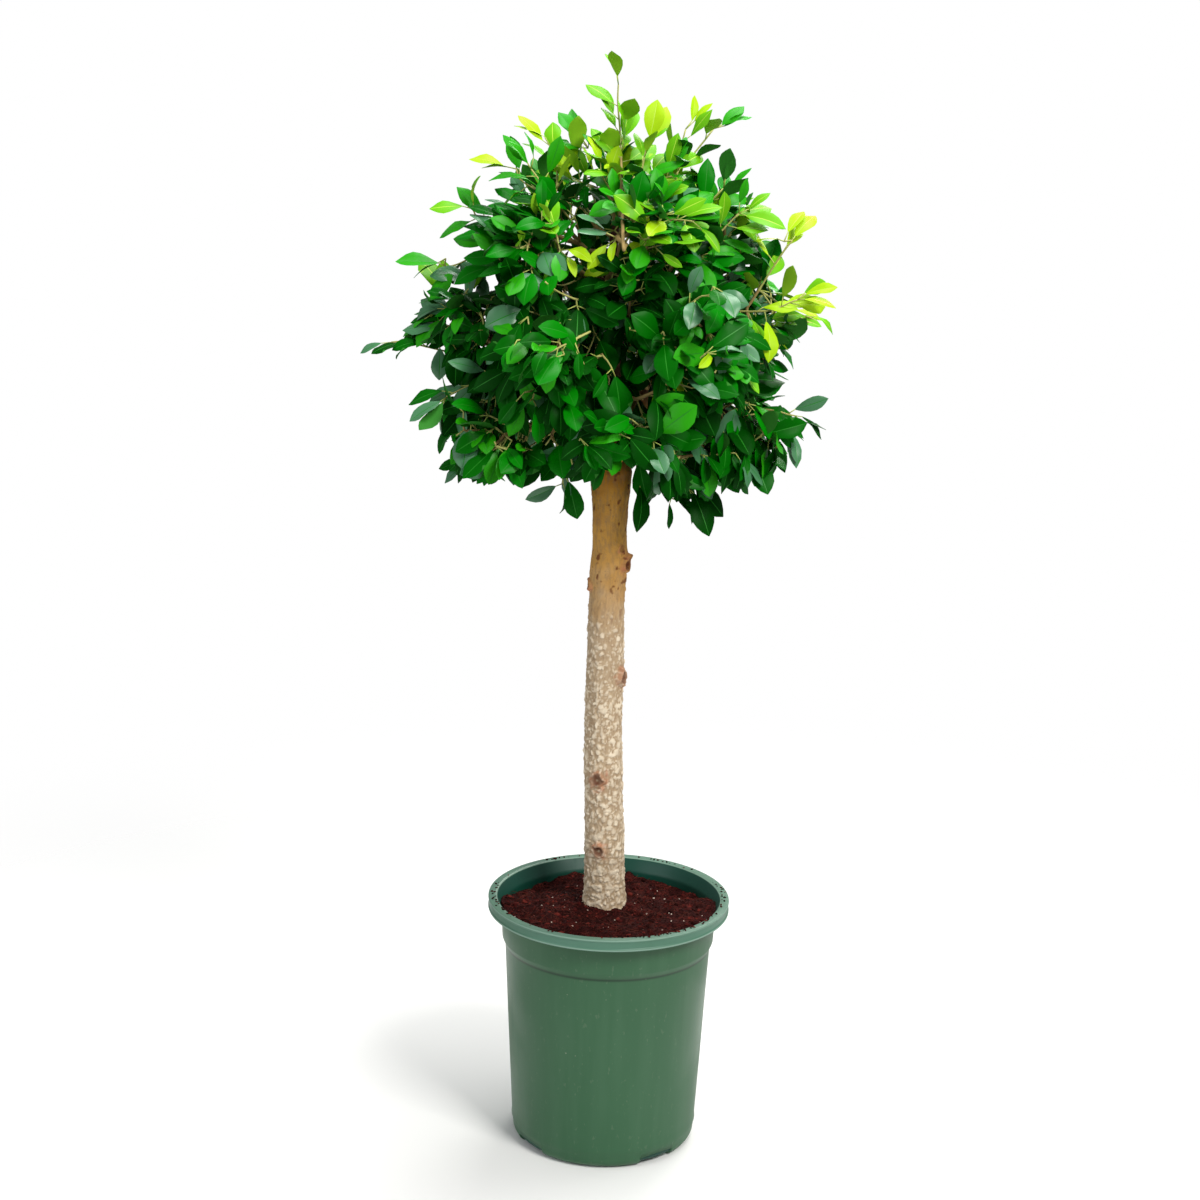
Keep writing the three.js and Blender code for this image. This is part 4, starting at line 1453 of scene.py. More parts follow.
@dataclass(frozen=True)
class LeafShape:
    """The blade: a pointed oval in rows along and columns across, with a rib, closed underneath."""

    rows: int = 8
    columns: tuple[float, ...] = (-1.0, -0.5, -0.04, 0.04, 0.5, 1.0)
    thickness: float = 0.35 * MM
    stalk_radius: float = 0.75 * MM

    def outline(self, along: Array) -> Array:
        """Half width at shares of the length: a sine with full sides, drawn in to a short point."""
        full = np.sin(math.pi * np.clip(along, 0, 1) ** 1.16) ** 0.78
        return np.clip(full * (1.0 - 0.22 * ease(along, 0.84, 0.98)), 0.04, 1.0)

    def stations(self) -> Array:
        """Shares of the length at which the blade has a row, closer at its ends."""
        even = np.linspace(0.0, 1.0, self.rows)
        return even - 0.035 * np.sin(2 * math.pi * even)

    def blades(self, leaves: Leaves) -> Pair:
        """Upper and lower points of all the blades.

        The rib runs on an arc: along it sin(bu)/b, down it (1 - cos(bu))/b. Each half rises from it
        by the fold's slope, and ripples towards its margin.

        Args:
            leaves: the leaves.

        Returns:
            The points of the upper and the lower side, leaf by row by column.
        """
        def each(values: Array) -> Array:
            """Values of the leaves, ready to meet rows and columns."""
            return values[:, None, None]

        along, side = self.stations()[None, :, None], np.array(self.columns)[None, None, :]
        bend, length = each(leaves.bend), each(leaves.length)
        half = each(leaves.width) / 2 * self.outline(along)
        angle = bend * along
        forward = length * np.sin(angle) / bend
        down = length * (1.0 - np.cos(angle)) / bend
        fold = each(leaves.fold) * np.sin(math.pi * np.clip(along * 0.85 + 0.1, 0, 1))
        wave = each(leaves.ripple) * half * side**2
        wave = wave * np.sin(along * 8.5 + each(leaves.phase) + 1.4 * np.sign(side))
        rise = np.abs(side) * half * np.sin(fold) + wave - 0.22 * half * side**4
        spread = side * half * np.cos(fold)
        axis, normal = each(leaves.axis), each(leaves.normal)
        tilted = normal * np.cos(angle)[..., None] + axis * np.sin(angle)[..., None]
        spine = axis * forward[..., None] - normal * down[..., None]
        beside = each(np.cross(leaves.axis, leaves.normal)) * spread[..., None]
        upper = each(leaves.base) + spine + beside + tilted * rise[..., None]
        swell = self.thickness * (1.0 - side**2) + 0.5 * self.thickness * (np.abs(side) < 0.1)
        return upper, upper - tilted * (swell + 0.0 * along)[..., None]

    def template(self) -> tuple[Array, list[Pair], Array]:
        """Numbering of one leaf.

        Returns:
            The lower points that are kept, the faces in groups of one corner count with the part of
            each (0 upper, 1 underside, 2 rib, 3 stalk), and the points on the margin.
        """
        rows, columns = self.rows, len(self.columns)
        top = np.arange(rows * columns).reshape(rows, columns)
        kept = np.zeros((rows, columns), bool)
        kept[:, columns // 2] = True
        below = rows * columns + np.arange(rows)
        upper = grid_faces(rows, columns, closed=False)[:, ::-1]
        rib = np.tile(np.arange(columns - 1) == columns // 2 - 1, rows - 1)
        left = np.stack([top[:-1, 0], below[:-1], below[1:], top[1:, 0]], -1)
        right = np.stack([below[:-1], top[:-1, -1], top[1:, -1], below[1:]], -1)
        wall, first, last = tube_faces(2, 4)
        stalk = np.concatenate([wall, first, last]) + rows * columns + rows
        ends = np.array([[*top[0], below[0]], [*top[-1, ::-1], below[-1]]])
        fours = np.concatenate([upper, left, right, stalk])
        parts = np.concatenate([np.where(rib, 2, 0), np.ones(2 * rows - 2, int), np.full(len(stalk), 3)])
        groups = [(fours, parts), (ends, np.zeros(2, int))]
        margin = np.concatenate([top[0], top[-1], top[:, 0], top[:, -1]])
        return kept.ravel(), groups, margin

    def stalks(self, leaves: Leaves, nodes: Array, radii: Array) -> Array:
        """Points of the stalks: a four-sided tube from the twig to each blade.

        Args:
            leaves: the leaves.
            nodes: where each leaves its twig.
            radii: the twig's radius there.

        Returns:
            The points, leaf by ring by side.
        """
        ends = leaves.base + leaves.axis * 0.8 * MM
        rings = np.stack([nodes, ends], axis=1)
        along = unit(ends - nodes)
        first = across(leaves.normal, along)
        size = np.minimum(self.stalk_radius, radii * 0.9)[:, None, None, None]
        size = size * np.array([1.1, 0.8])[None, :, None, None]
        return rings[:, :, None] + spokes(first, np.cross(along, first), 4)[:, None] * size

    def build(self, name: str, leaves: Leaves, nodes: Array, radii: Array, materials: list) -> Object:
        """One piece of many joined leaves, sharp along their margins.

        Args:
            name: the piece's name.
            leaves: the leaves.
            nodes: where their stalks leave the twigs.
            radii: the twigs' radii there.
            materials: the leaf materials.

        Returns:
            The piece.
        """
        kept, groups, margin = self.template()
        upper, lower = self.blades(leaves)
        count = len(leaves.base)
        stalks = self.stalks(leaves, nodes, radii).reshape(count, -1, 3)
        lower = lower.reshape(count, -1, 3)[:, kept]
        points = np.concatenate([upper.reshape(count, -1, 3), lower, stalks], axis=1)
        size = points.shape[1]
        shifts = size * np.arange(count)
        finish = LeafFinishes.numbers(leaves.tone)
        joined = [
            Faces((faces[None] + shifts[:, None, None]).reshape(-1, faces.shape[1]), finish[:, parts].reshape(-1))
            for faces, parts in groups
        ]
        piece = make_piece(name, points, joined, materials)
        on_margin = np.zeros(count * size, bool)
        on_margin[(margin[None] + shifts[:, None]).ravel()] = True
        mesh = piece.data
        edges = np.empty(len(mesh.edges) * 2, np.int32)
        mesh.edges.foreach_get("vertices", edges)
        sharp = on_margin[edges.reshape(-1, 2)].all(axis=1)
        layer = mesh.attributes.new("sharp_edge", "BOOLEAN", "EDGE")
        layer.data.foreach_set("value", sharp)
        return piece


# ---- the head ----


@dataclass
class Head:
    """The round head: boughs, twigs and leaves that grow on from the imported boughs."""

    stem: Stem
    seed: int = 7
    step: float = 12.5 * MM
    goals_per_lump: int = 102
    deep_goals_per_lump: int = 30
    core_goals: int = 420
    goal_depths: dict[str, tuple[float, float]] = field(
        default_factory=lambda: {"low": (18 * MM, 60 * MM), "mid": (16 * MM, 56 * MM), "high": (26 * MM, 66 * MM)}
    )
    tip_radius: float = 0.95 * MM
    clear_width: float = 30.0 * MM
    clear_slope: float = 0.17
    overhang: float = 12.0 * MM
    shoot_overhang: float = 24.0 * MM
    droop: float = 24.0 * MM
    droop_place: float = 62.0 * MM
    droop_spread: float = 52.0 * MM
    leafy_ranks: int = 8
    leaf_length: float = 45.0 * MM
    leaf_width: float = 0.55
    habits: dict[str, ShootHabit] = field(
        default_factory=lambda: {
            "shoot_leader": ShootHabit(
                0.6, 8 * MM, 1.0, 1.0, (0.014, 0.0, -0.004), root=(-0.003, -0.165, 1.125), fresh=1.2, brightest=3.0
            ),
            "shoot_shoulder_right": ShootHabit(bare=0.1, spacing=9 * MM, shift=(0.012, -0.03, -0.022), fresh=2.0),
            "shoot_hanging_right": ShootHabit(bare=0.3, leaf=0.95, shift=(-0.018, 0.0, 0.02)),
            "shoot_hanging_left": ShootHabit(bare=0.3, leaf=0.9, shift=(-0.004, 0.0, 0.016)),
            "shoot_long_left": ShootHabit(bare=0.1, spacing=14 * MM, leaf=0.85),
            "shoot_top_right_inner": ShootHabit(bare=0.35, spacing=15 * MM, shift=(0.014, 0.0, 0.0)),
            "shoot_top_right_outer": ShootHabit(bare=0.35, spacing=15 * MM),
        }
    )
    bough_sides: int = 40
    light: Triple = (0.3, -0.8, 0.5)
    sprouts: tuple[tuple[Triple, Triple, float], ...] = (
        ((0.013, -0.06, 1.19), (0.026, -0.062, 1.264), 0.0),
        ((0.075, -0.05, 1.15), (0.134, -0.05, 1.212), 0.3),
        ((0.05, -0.02, 1.175), (0.066, -0.03, 1.238), 0.6),
        ((0.09, -0.07, 1.12), (0.15, -0.08, 1.186), 0.9),
        ((-0.085, -0.05, 1.17), (-0.132, -0.06, 1.23), 0.2),
        ((0.16, -0.07, 1.05), (0.228, -0.09, 1.078), 2.4),
        ((-0.17, -0.08, 0.96), (-0.232, -0.1, 0.93), 0.0),
        ((0.018, -0.02, 0.875), (0.03, -0.03, 0.8), 0.0),
        ((0.075, -0.05, 0.86), (0.088, -0.06, 0.812), 0.0),
    )
    shape: LeafShape = LeafShape()
    finishes: LeafFinishes = LeafFinishes()
    twigs: tuple[Finish, ...] = (
        Finish("twig_green", colour(0.4, 0.4, 0.12), Sheen(0.55, 0.25)),
        Finish("twig_tan", colour(0.34, 0.24, 0.09), Sheen(0.7, 0.2)),
        Finish("twig_brown", colour(0.095, 0.036, 0.028), Sheen(0.8, 0.15)),
    )

    def __post_init__(self) -> None:
        """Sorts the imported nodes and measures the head."""
        names = sorted(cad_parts)
        self.boughs = [name for name in names if name.startswith("bough_")]
        self.lumps = [name for name in names if name.startswith("foliage_")]
        self.shoots = [name for name in names if name.startswith("shoot_")]
        corners = np.array([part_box(name) for name in self.lumps])
        self.low, self.high = corners[:, 0].min(axis=0), corners[:, 1].max(axis=0)
        self.centre = (self.low + self.high) / 2
        self.random = np.random.default_rng(self.seed)
        self.tree = Skeleton()
        self.bough_lines: list[list[int]] = []
        self.shoot_lines = [centreline(name, self.centre, 6)[0] for name in self.shoots]
        self.shoot_lines += [np.linspace(start, tip, 6) for start, tip, _ in self.sprouts]
        self.shoot_habits = [self.habits.get(name, ShootHabit()) for name in self.shoots]
        self.shoot_habits += [ShootHabit(0.2, 10 * MM, fresh=fresh) for *_, fresh in self.sprouts]
        surfaces = [packed_surface(name) for name in self.lumps + self.shoots]
        shifts = np.cumsum([0] + [len(points) for points, _ in surfaces])
        corners = [triangles + shift for (_, triangles), shift in zip(surfaces, shifts)]
        points = np.concatenate([points for points, _ in surfaces])
        self.outside = BVHTree.FromPolygons([Vector(p) for p in points], np.concatenate(corners).tolist())

    # -- growing --

    def plant_boughs(self) -> None:
        """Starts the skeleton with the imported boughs, each from inside the top of the stem."""
        fork = self.stem.measured()[0][-1]
        seat = self.tree.add(fork - UP * 30 * MM, -1, 20 * MM)
        crown = self.tree.add(fork - UP * 6 * MM, seat, 15 * MM)
        for name in self.boughs:
            path, radii = centreline(name, fork - UP * 12 * MM, 9)
            length = lengths(path)
            count = max(3, int(length[-1] / self.step))
            shares = np.linspace(0, length[-1], count)
            line = between(shares, length, path)
            thick = np.interp(shares, length, radii) * np.linspace(1.0, 0.6, count)
            last = crown
            self.bough_lines.append([seat, crown])
            for place, radius in zip(line, thick):
                last = self.tree.add(place, last, radius, leafy=False)
                self.bough_lines[-1].append(last)

    def goals(self) -> Array:
        """Where the twigs are to end: places under the outer skin of each lump, and some deeper."""
        sets = []
        for name in self.lumps:
            points, triangles = packed_surface(name)
            places, normals = surface_samples(points, triangles, 900, self.random)
            outer = np.sum(normals * unit(places - self.centre), axis=1) > 0.3
            places, normals = places[outer], normals[outer]
            picked = self.spread(places, self.goals_per_lump)
            level = next((key for key in self.goal_depths if f"_{key}" in name), "high")
            depths = self.random.uniform(*self.goal_depths[level], (len(picked), 1))
            sets.append(places[picked] - normals[picked] * depths)
            deep = self.random.choice(len(places), self.deep_goals_per_lump)
            depths = self.random.uniform(60 * MM, 140 * MM, (len(deep), 1))
            sets.append(places[deep] - normals[deep] * depths)
        within = unit(self.random.normal(0, 1, (self.core_goals, 3)))
        within = within * self.random.uniform(0.2, 0.62, (self.core_goals, 1))
        sets.append(self.centre + within * (self.high - self.low) / 2)
        goals = np.concatenate(sets)
        clear = np.maximum(self.skirt(goals), self.clearing(goals, 1.3 * self.clear_width))
        return goals[goals[:, 2] > clear + 0.55 * self.leaf_length]

    def clearing(self, places: Array, width: float) -> Array:
        """Level under which nothing may stand before the fork, and 0 beside and behind it."""
        before = (np.abs(places[:, 0] - self.stem.axis[0]) < width) & (places[:, 1] < 10 * MM)
        return before * (self.stem.top + 4 * MM + self.clear_slope * np.maximum(0.0, -places[:, 1]))

    def skirt(self, places: Array) -> Array:
        """Lowest level of the leaves: it rises outwards and to the front, and droops once."""
        reach = np.hypot(places[:, 0] - self.centre[0], places[:, 1])
        rise = 0.2 * np.maximum(0.0, reach - 190 * MM) + self.clear_slope * np.maximum(0.0, -places[:, 1])
        droop = self.droop * np.exp(-(((places[:, 0] - self.droop_place) / self.droop_spread) ** 2))
        return self.stem.top - 20 * MM + rise - droop

    @staticmethod
    def spread(places: Array, count: int) -> Array:
        """Picks places far from each other: each is the farthest from those before."""
        picked = [0]
        gap = norm(places - places[0])
        for _ in range(count - 1):
            picked.append(int(gap.argmax()))
            gap = np.minimum(gap, norm(places - places[picked[-1]]))
        return np.array(picked)

    def grow_shoots(self) -> None:
        """Adds each shoot as a smooth line from the nearest twig, through its spindle, to its tip."""
        for number, (path, habit) in enumerate(zip(self.shoot_lines, self.shoot_habits)):
            tip_leaf = self.leaf_length * habit.leaf * 0.95
            inwards = unit(path[0] - path[1])
            path += habit.shift
            root = self.tree.nearest(habit.root or path[0] + inwards * 60 * MM)
            start = self.tree.places[root]
            end = path[-1] - unit(path[-1] - path[-2]) * max(0.0, tip_leaf - 6 * MM)
            end[:2] += habit.lean * (path[2] - end)[:2]
            via = [] if habit.root is None else [habit.root, (habit.root + path[0]) / 2]
            line = smooth_path(np.stack([start, *via, path[0], path[2], end]), 12)
            spans = lengths(line)
            count = max(4, round(spans[-1] / habit.spacing))
            shares = np.linspace(0, spans[-1], count + 1)[1:]
            bare = np.interp(habit.bare, [0, 1], [0, spans[-1]])
            last = root
            for share, place in zip(shares, between(shares, spans, line)):
                last = self.tree.add(place, last, 0.0, number, leafy=bool(share > bare))

    def grow(self) -> None:
        """Grows the whole skeleton and works out its radii and ranks."""
        self.plant_boughs()
        held = self.tree.count
        self.tree.grow_towards(self.goals(), self.step, 13 * MM, 0.55, self.random)
        self.tree.relax(6, held)
        self.grow_shoots()
        self.radii, self.ranks = self.tree.thicken(self.tip_radius, 2.35, 0.035 * MM)
        LOG.info("skeleton: %d places, %d tips", self.tree.count, int((self.ranks == 0).sum()))

    # -- twigs --

    def build_boughs(self) -> None:
        """Makes the boughs: tubes with bark in relief, in three sizes, less of it on thin limbs."""
        tubes = Tubes()
        for line in self.bough_lines:
            thick = self.radii[line].copy()
            thick[:2] = 0.7 * thick[2], 1.05 * thick[2]
            path = smooth_path(np.concatenate([self.tree.places[line], thick[:, None]], axis=1), 6)
            rings = tube_points(path[:, :3], path[:, 3], self.bough_sides)
            out = unit(rings - path[:, None, :3])
            height = LUMPS.at(rings, 16 * MM) + 0.7 * LUMPS.at(rings + 3.0, (5 * MM, 5 * MM, 16 * MM))
            height = height + 0.35 * LUMPS.at(rings + 6.0, 2.5 * MM)
            height = height * np.clip(path[:, 3] / (9 * MM), 0.2, 1.0)[:, None]
            tubes.add(rings + out * height[..., None] * MM)
        place_piece(tubes.piece("boughs", self.stem.bark.material()), "bark", *self.boughs)

    def build_twigs(self) -> None:
        """Makes all the twigs as joined tubes that thin to their tips."""
        tubes = Tubes()
        bare = max(self.bough_lines[-1]) + 1
        for run in self.tree.chains(self.radii):
            run = run[max((i for i, number in enumerate(run) if number < bare), default=0) :]
            if len(run) < 2:
                continue
            thick = self.radii[run].copy()
            thick[0] = thick[1]
            path = np.concatenate([self.tree.places[run], thick[:, None]], axis=1)
            path = smooth_path(path, 2 if thick[0] < 2.5 * MM else 4)
            middles, radii = path[:, :3], np.maximum(path[:, 3], 0.5 * self.tip_radius)
            sides = 5 if radii[0] < 1.8 * MM else 8 if radii[0] < 4 * MM else 14
            rings = tube_points(middles, radii, sides)
            rough = 1.0 + 0.07 * LUMPS.at(rings, 7 * MM)[..., None]
            uneven = radii[:-1] + 0.3 * MM * LUMPS.at(middles[:-1], 40 * MM)
            tone = np.repeat(np.digitize(uneven, [1.45 * MM, 3.4 * MM]), sides)
            tubes.add(middles[:, None] + (rings - middles[:, None]) * rough, tone, 2 if sides > 5 else 0)
        place_piece(tubes.piece("twigs", *(finish.material() for finish in self.twigs)), "bark")

    # -- leaves --

    def place_leaves(self) -> Leaves:
        """Puts leaves on the twigs.

        One stands at every leafy place near a tip, a golden angle round from the last, and tips carry
        two more. It opens sideways, out of the head, and up near the top or down near the foot.

        Returns:
            The leaves.
        """
        tree, random = self.tree, self.random
        numbers = np.arange(tree.count)
        parents = np.maximum(tree.parents[: tree.count], 0)
        ways = unit(tree.places[numbers] - tree.places[parents] + 1e-9)
        leafy = tree.leafy[numbers] & (self.ranks < self.leafy_ranks) & (self.radii < 2.6 * MM)
        on_shoot = tree.shoot[numbers] >= 0
        leafy |= on_shoot & tree.leafy[numbers]
        depth = self.depth(tree.places[numbers])
        sparse = 0.45 * ease(depth, 70 * MM, 130 * MM)
        leafy &= on_shoot | (random.uniform(0, 1, len(numbers)) < 1.0 - sparse)
        tips = np.repeat(numbers[self.ranks == 0], 2)
        node = np.concatenate([numbers[leafy], tips])
        terminal = np.concatenate([np.zeros(leafy.sum(), bool), np.ones(len(tips), bool)])
        count = len(node)
        place, way = tree.places[node], ways[node]
        last_turns = np.arange(len(tips)) * math.pi + random.uniform(0, 6, len(tips))
        turn = np.concatenate([numbers[leafy] * GOLDEN_ANGLE, last_turns]) + random.normal(0, 0.35, count)
        first = across(np.broadcast_to(UP + 1e-3, (count, 3)) + 0.2 * random.normal(0, 1, (count, 3)), way)
        second = np.cross(way, first)
        sideways = first * np.cos(turn)[:, None] + second * np.sin(turn)[:, None]
        opening = np.where(terminal, random.uniform(0.25, 0.6, count), random.uniform(0.75, 1.15, count))
        last_leaf = terminal & (tree.shoot[node] >= 0) & (np.arange(count) % 2 == leafy.sum() % 2)
        opening = np.where(last_leaf, 0.05, opening)
        goals = np.array([line[-1] for line in self.shoot_lines] + [np.zeros(3)])
        level = self.level(place)
        away = unit((place - self.centre) * np.array([1.0, 1.0, 0.55]))
        pull = np.interp(level, [0.0, 0.35, 0.7, 1.0], [-0.95, -0.55, -0.05, 0.55])
        pull = pull + random.normal(0, 0.38, count)
        axis = way * np.cos(opening)[:, None] + sideways * np.sin(opening)[:, None]
        axis = unit(axis + 0.45 * away + UP * pull[:, None] + 0.24 * random.normal(0, 1, (count, 3)))
        axis = np.where(last_leaf[:, None], unit(goals[tree.shoot[node]] - place), axis)
        facing = 0.6 * away + UP * (0.45 + 0.3 * level)[:, None] + 0.5 * np.array(self.light)
        facing = facing + 0.4 * random.normal(0, 1, (count, 3))
        normal = across(facing, axis)
        stalk = random.uniform(8, 14, count) * MM
        base = place + unit(axis + 0.5 * sideways) * stalk[:, None]
        young = terminal & (random.uniform(0, 1, count) < 0.6)
        shoot_size = np.array([habit.leaf for habit in self.shoot_habits] + [1.0])[tree.shoot[node]]
        size = random.normal(1.0, 0.11, count).clip(0.72, 1.22) * np.where(young, 0.78, 1.0) * shoot_size
        length = self.leaf_length * size * np.interp(level, [0.0, 0.4, 1.0], [1.08, 1.0, 0.88])
        width = length * self.leaf_width * random.normal(1.0, 0.08, count).clip(0.8, 1.2)
        width = width * np.where(young, 0.8, 1.0)
        width = np.where(on_shoot[node], 0.93, 1.0) * width
        return Leaves(
            *(node, base, axis, normal, length, width),
            fold=np.radians(random.normal(17, 8, count).clip(2, 40)) + np.where(young, 0.18, 0.0),
            bend=random.normal(0.55, 0.3, count).clip(0.08, 1.3),
            ripple=random.uniform(0.02, 0.16, count),
            phase=random.uniform(0, 2 * math.pi, count),
            tone=self.tones(node, terminal, young, depth),
        )

    def trimmed(self, leaves: Leaves) -> Array:
        """Which leaves stay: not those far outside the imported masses, low down or before the fork.

        Args:
            leaves: all leaves. The shoots keep theirs that hang low.

        Returns:
            A mask of the leaves to keep.
        """
        tips = leaves.base + leaves.axis * leaves.length[:, None]
        middles = leaves.base + 0.5 * leaves.axis * leaves.length[:, None]
        on_shoot = self.tree.shoot[leaves.node] >= 0
        keep = on_shoot | (tips[:, 2] > self.skirt(tips))
        for places in (tips, middles):
            keep &= places[:, 2] > self.clearing(places, self.clear_width)
        reach = np.array([self.shoot_overhang] * len(self.shoots) + [1.0] * len(self.sprouts) + [self.overhang])
        return keep & (self.overhangs(tips) < reach[self.tree.shoot[leaves.node]])

    def overhangs(self, places: Array) -> Array:
        """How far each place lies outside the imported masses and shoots, or less than 0 inside."""
        gaps = []
        for place in places:
            near, normal, _, apart = self.outside.find_nearest(Vector(place))
            gaps.append(math.copysign(apart, (Vector(place) - near).dot(normal)))
        return np.array(gaps)

    def level(self, places: Array) -> Array:
        """The height of places in the head, from 0 to 1."""
        return (places[:, 2] - self.low[2]) / (self.high[2] - self.low[2])

    def depth(self, places: Array) -> Array:
        """How far inside the head each place lies, against a rounded box of the head's size."""
        half = (self.high - self.low) / 2
        reach = norm((places - self.centre) / half)
        return np.maximum(0.0, 1.0 - reach) * half.mean()

    def tones(self, node: Array, terminal: Array, young: Array, depth: Array) -> Array:
        """Deals a tone to each leaf by a score.

        It adds up the height in the head, partly new growth and partly painted light on the top, the sunny side,
        which is painted light, chance for the spray and the leaf, and being young, less the depth inside, partly
        older leaves and partly painted shade within the head.

        Args:
            node: the place that each leaf grows from.
            terminal: whether it is one of the last of its twig.
            young: whether it is new.
            depth: how far inside each place of the skeleton lies.

        Returns:
            The tone numbers.
        """
        random, place = self.random, self.tree.places[node]
        level = self.level(place)
        spray = np.zeros(self.tree.count, int)
        for index, run in enumerate(self.tree.chains(self.radii)):
            spray[run[1:]] = index
        spray_score = random.normal(0, 0.55, spray.max() + 1)
        flush = random.uniform(0, 1, spray.max() + 1)
        side = (place[:, 0] - self.centre[0]) / (self.high[0] - self.low[0])
        # Higher leaves and leaves to the right score brighter: partly new growth, partly painted light on the lit
        # top and right.
        score = 0.9 + 1.5 * ease(level, 0.25, 1.0) + 0.7 * side * level
        score = score + spray_score[spray[node]] + random.normal(0, 0.4, len(node))
        flushing = flush[spray[node]] < 0.05 + 0.5 * ease(level, 0.45, 1.0)
        score = score + np.where(terminal & flushing, 1.5, 0.0) + np.where(young & flushing, 0.7, 0.0)
        traits = np.array([(habit.fresh, habit.brightest) for habit in self.shoot_habits] + [(0.0, 9.0)])
        fresh, brightest = traits[self.tree.shoot[node]].T
        score = score + np.where(flushing, 0.4, 0.0) + fresh * ease(level, 0.35, 0.6)
        # Deeper leaves score darker: partly older leaves, partly painted shade inside the head.
        score = score - 1.6 * ease(depth[node], 30 * MM, 110 * MM)
        tones = np.digitize(np.minimum(score, brightest), [0.25, 0.95, 1.7, 2.6, 3.5])
        # Painted sheen: some sprays of darker tones get the grey-green sheen tone.
        glint = random.uniform(0, 1, spray.max() + 1)[spray[node]] + random.normal(0, 0.12, len(node))
        painted_sheen = (glint < 0.16) & (tones < Tone.FRESH.value) & (tones > Tone.DEEP.value)
        return np.where(painted_sheen, Tone.SILVER.value, tones)

    def build_leaves(self) -> None:
        """Makes the leaves in pieces: low, middle and high lumps, and the shoots."""
        leaves = self.place_leaves()
        leaves = leaves.chosen(self.trimmed(leaves))
        materials = self.finishes.materials()
        shoot = self.tree.shoot[leaves.node] >= 0
        height = self.tree.places[leaves.node][:, 2]
        nodes = {key: [name for name in self.lumps if f"_{key}_" in name] for key in ("low", "mid", "high")}
        low, mid = (np.mean([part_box(name)[1][2] for name in nodes[key]]) - 20 * MM for key in ("low", "mid"))
        nodes["high"] += [name for name in self.lumps if "crest" in name]
        parts = {
            "low": ~shoot & (height < low),
            "mid": ~shoot & (height >= low) & (height < mid),
            "high": ~shoot & (height >= mid),
            "shoots": shoot,
        }
        for key, mask in parts.items():
            part = leaves.chosen(mask)
            places = self.tree.places[part.node]
            piece = self.shape.build(f"leaves_{key}", part, places, self.radii[part.node], materials)
            place_piece(piece, "foliage", *nodes.get(key, self.shoots))
            LOG.info("leaves_%s: %d leaves", key, len(part.base))


# ---- the studio ----


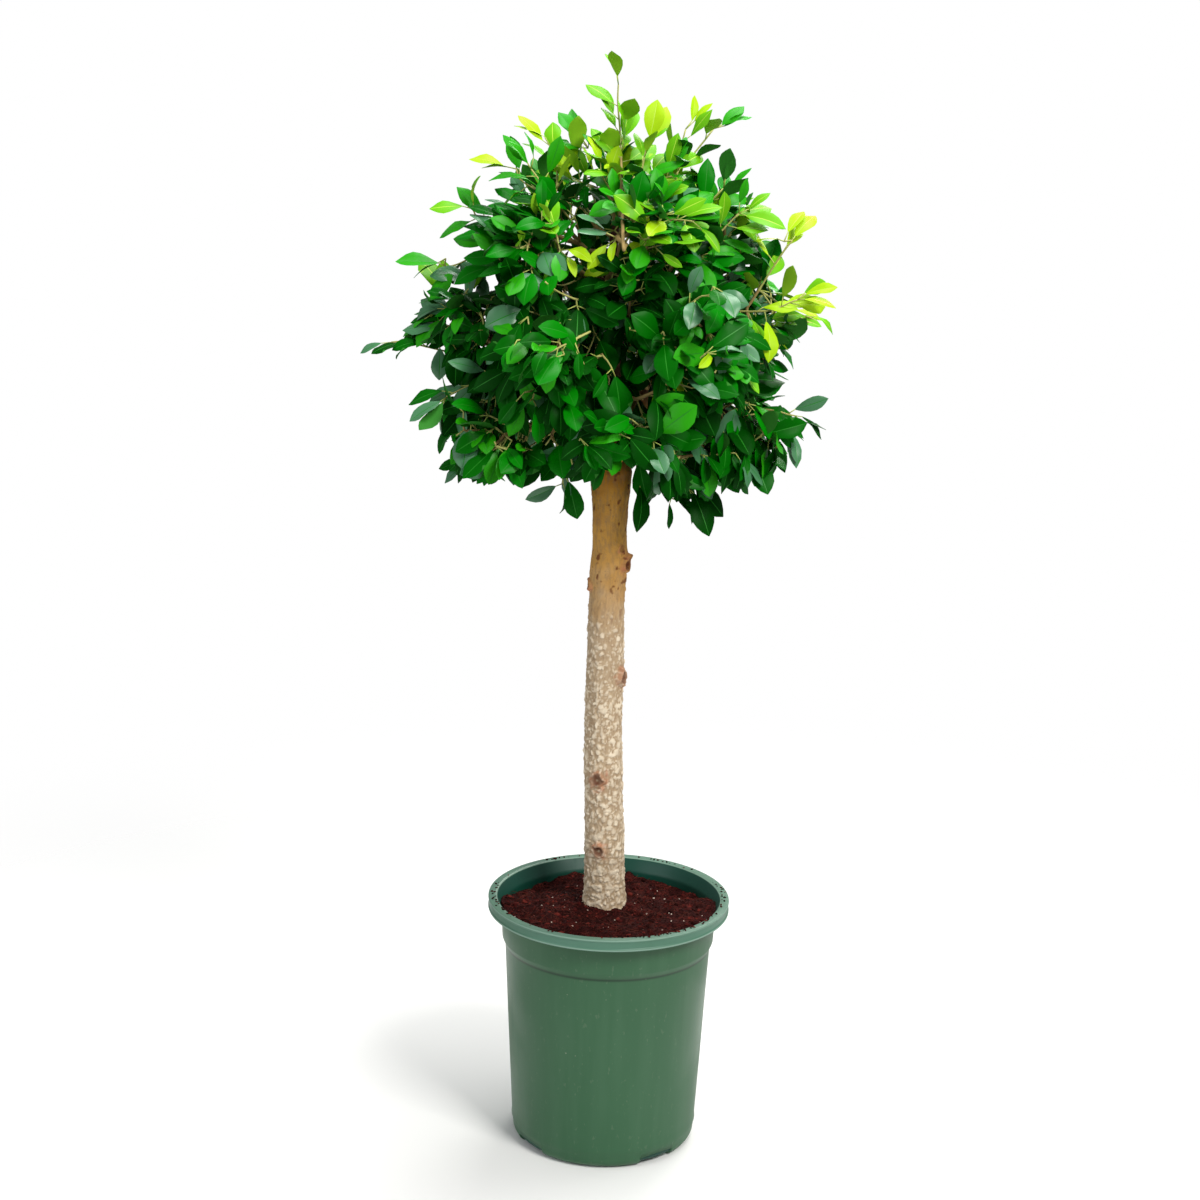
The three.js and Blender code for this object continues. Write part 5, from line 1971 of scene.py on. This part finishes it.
@dataclass
class Studio:
    """The floor, the soft lights and the camera."""

    distance: float = 2.5
    eye_height: float = 1.2737
    pitch: float = math.radians(13.11)
    roll: float = math.radians(1.43)
    yaw: float = math.radians(0.46)
    lens: float = 63.77
    floor_radius: float = 1.9
    floor_clear: float = 0.3
    sky: float = 0.36
    backdrop: float = 1.0

    def floor(self) -> None:
        """A pale floor that thins out into the white round it: its cover falls with the distance."""
        rings = np.linspace(0.004, self.floor_radius, 24)
        points = outwards(turns(64))[None] * rings[:, None, None]
        finish = Finish("studio_floor", colour(0.86, 0.86, 0.86), Sheen(0.9, 0.1))
        material, graph, surface = finish.shader()
        away = graph.node("VectorMath", graph.place, operation="LENGTH").outputs["Value"]
        graph.feed(surface, Alpha=graph.ramp(away, self.floor_clear, self.floor_radius, 1.0, 0.0))
        centre = np.arange(64)[None]
        walls = grid_faces(len(rings), 64, closed=True)[:, ::-1]
        piece = make_piece("studio_floor", points, [Faces(walls), Faces(centre)], [material])
        piece.location.z = -0.0005
        piece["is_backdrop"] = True

    def light(self, name: str, place: Triple, size: float, power: float, tint: tuple) -> None:
        """A square soft light that faces the middle of the plant.

        Args:
            name: its name.
            place: where it hangs.
            size: its side.
            power: its watts.
            tint: its colour.
        """
        data = bpy.data.lights.new(name, "AREA")
        data.energy, data.size, data.color = power, size, tint
        lamp = bpy.data.objects.new(name, data)
        lamp.location = place
        lamp.rotation_euler = (Vector((0, 0, 0.85)) - Vector(place)).to_track_quat("-Z", "Y").to_euler()
        bpy.context.scene.collection.objects.link(lamp)

    def lights(self) -> None:
        """A large key from the upper front right, a fill from the left, a light above and one behind."""
        self.light("key", (1.7, -2.2, 3.0), 1.2, 118.0, (1.0, 0.98, 0.94))
        self.light("fill", (-2.6, -1.9, 1.7), 2.2, 30.0, (0.93, 0.97, 1.0))
        self.light("top", (0.3, 0.2, 3.2), 1.3, 62.0, (1.0, 1.0, 0.97))
        self.light("back", (0.9, 2.4, 2.4), 1.4, 38.0, (1.0, 1.0, 0.95))
        world = bpy.data.worlds.new("studio")
        world.use_nodes = True
        graph = Graph(world.node_tree)
        background = world.node_tree.nodes["Background"]
        seen = graph.ramp(graph.node("LightPath").outputs["Is Camera Ray"], 0.0, 1.0, self.sky, self.backdrop)
        graph.feed(background, Color=colour(1.0, 1.0, 1.0), Strength=seen)
        bpy.context.scene.world = world

    def camera(self) -> None:
        """The camera, level with the head and looking down a little at the pot."""
        level = math.cos(self.pitch)
        ahead = Vector((-math.sin(self.yaw) * level, math.cos(self.yaw) * level, -math.sin(self.pitch)))
        right = Vector((math.cos(self.yaw), math.sin(self.yaw), 0.0))
        above = right.cross(ahead)
        turned = right * math.cos(self.roll) + above * math.sin(self.roll)
        upright = above * math.cos(self.roll) - right * math.sin(self.roll)
        data = bpy.data.cameras.new("camera")
        data.lens, data.sensor_width = self.lens, 36.0
        camera = bpy.data.objects.new("camera", data)
        camera.matrix_world = Matrix.Translation((0, -self.distance, self.eye_height)) @ Matrix(
            (turned, upright, -ahead)
        ).transposed().to_4x4()
        bpy.context.scene.collection.objects.link(camera)
        bpy.context.scene.camera = camera

    def build(self) -> None:
        """Makes the floor, the lights and the camera."""
        self.floor()
        self.lights()
        self.camera()
        bpy.context.scene.view_settings.view_transform = "Standard"


def main() -> None:
    """Builds everything in order and measures both boxes."""
    logging.basicConfig(level=logging.INFO, format="%(name)s %(message)s", stream=sys.stdout)
    Studio().build()
    Pot().build()
    soil = Soil()
    soil.build_bed()
    soil.build_loose()
    stem = Stem()
    stem.build()
    head = Head(stem)
    head.grow()
    head.build_boughs()
    head.build_twigs()
    head.build_leaves()
    boxes = {"cad": CAD_BOX, "visual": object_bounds()}
    json.dumps({key: [list(corner) for corner in box] for key, box in boxes.items()})


if __name__ == "__main__":
    main()
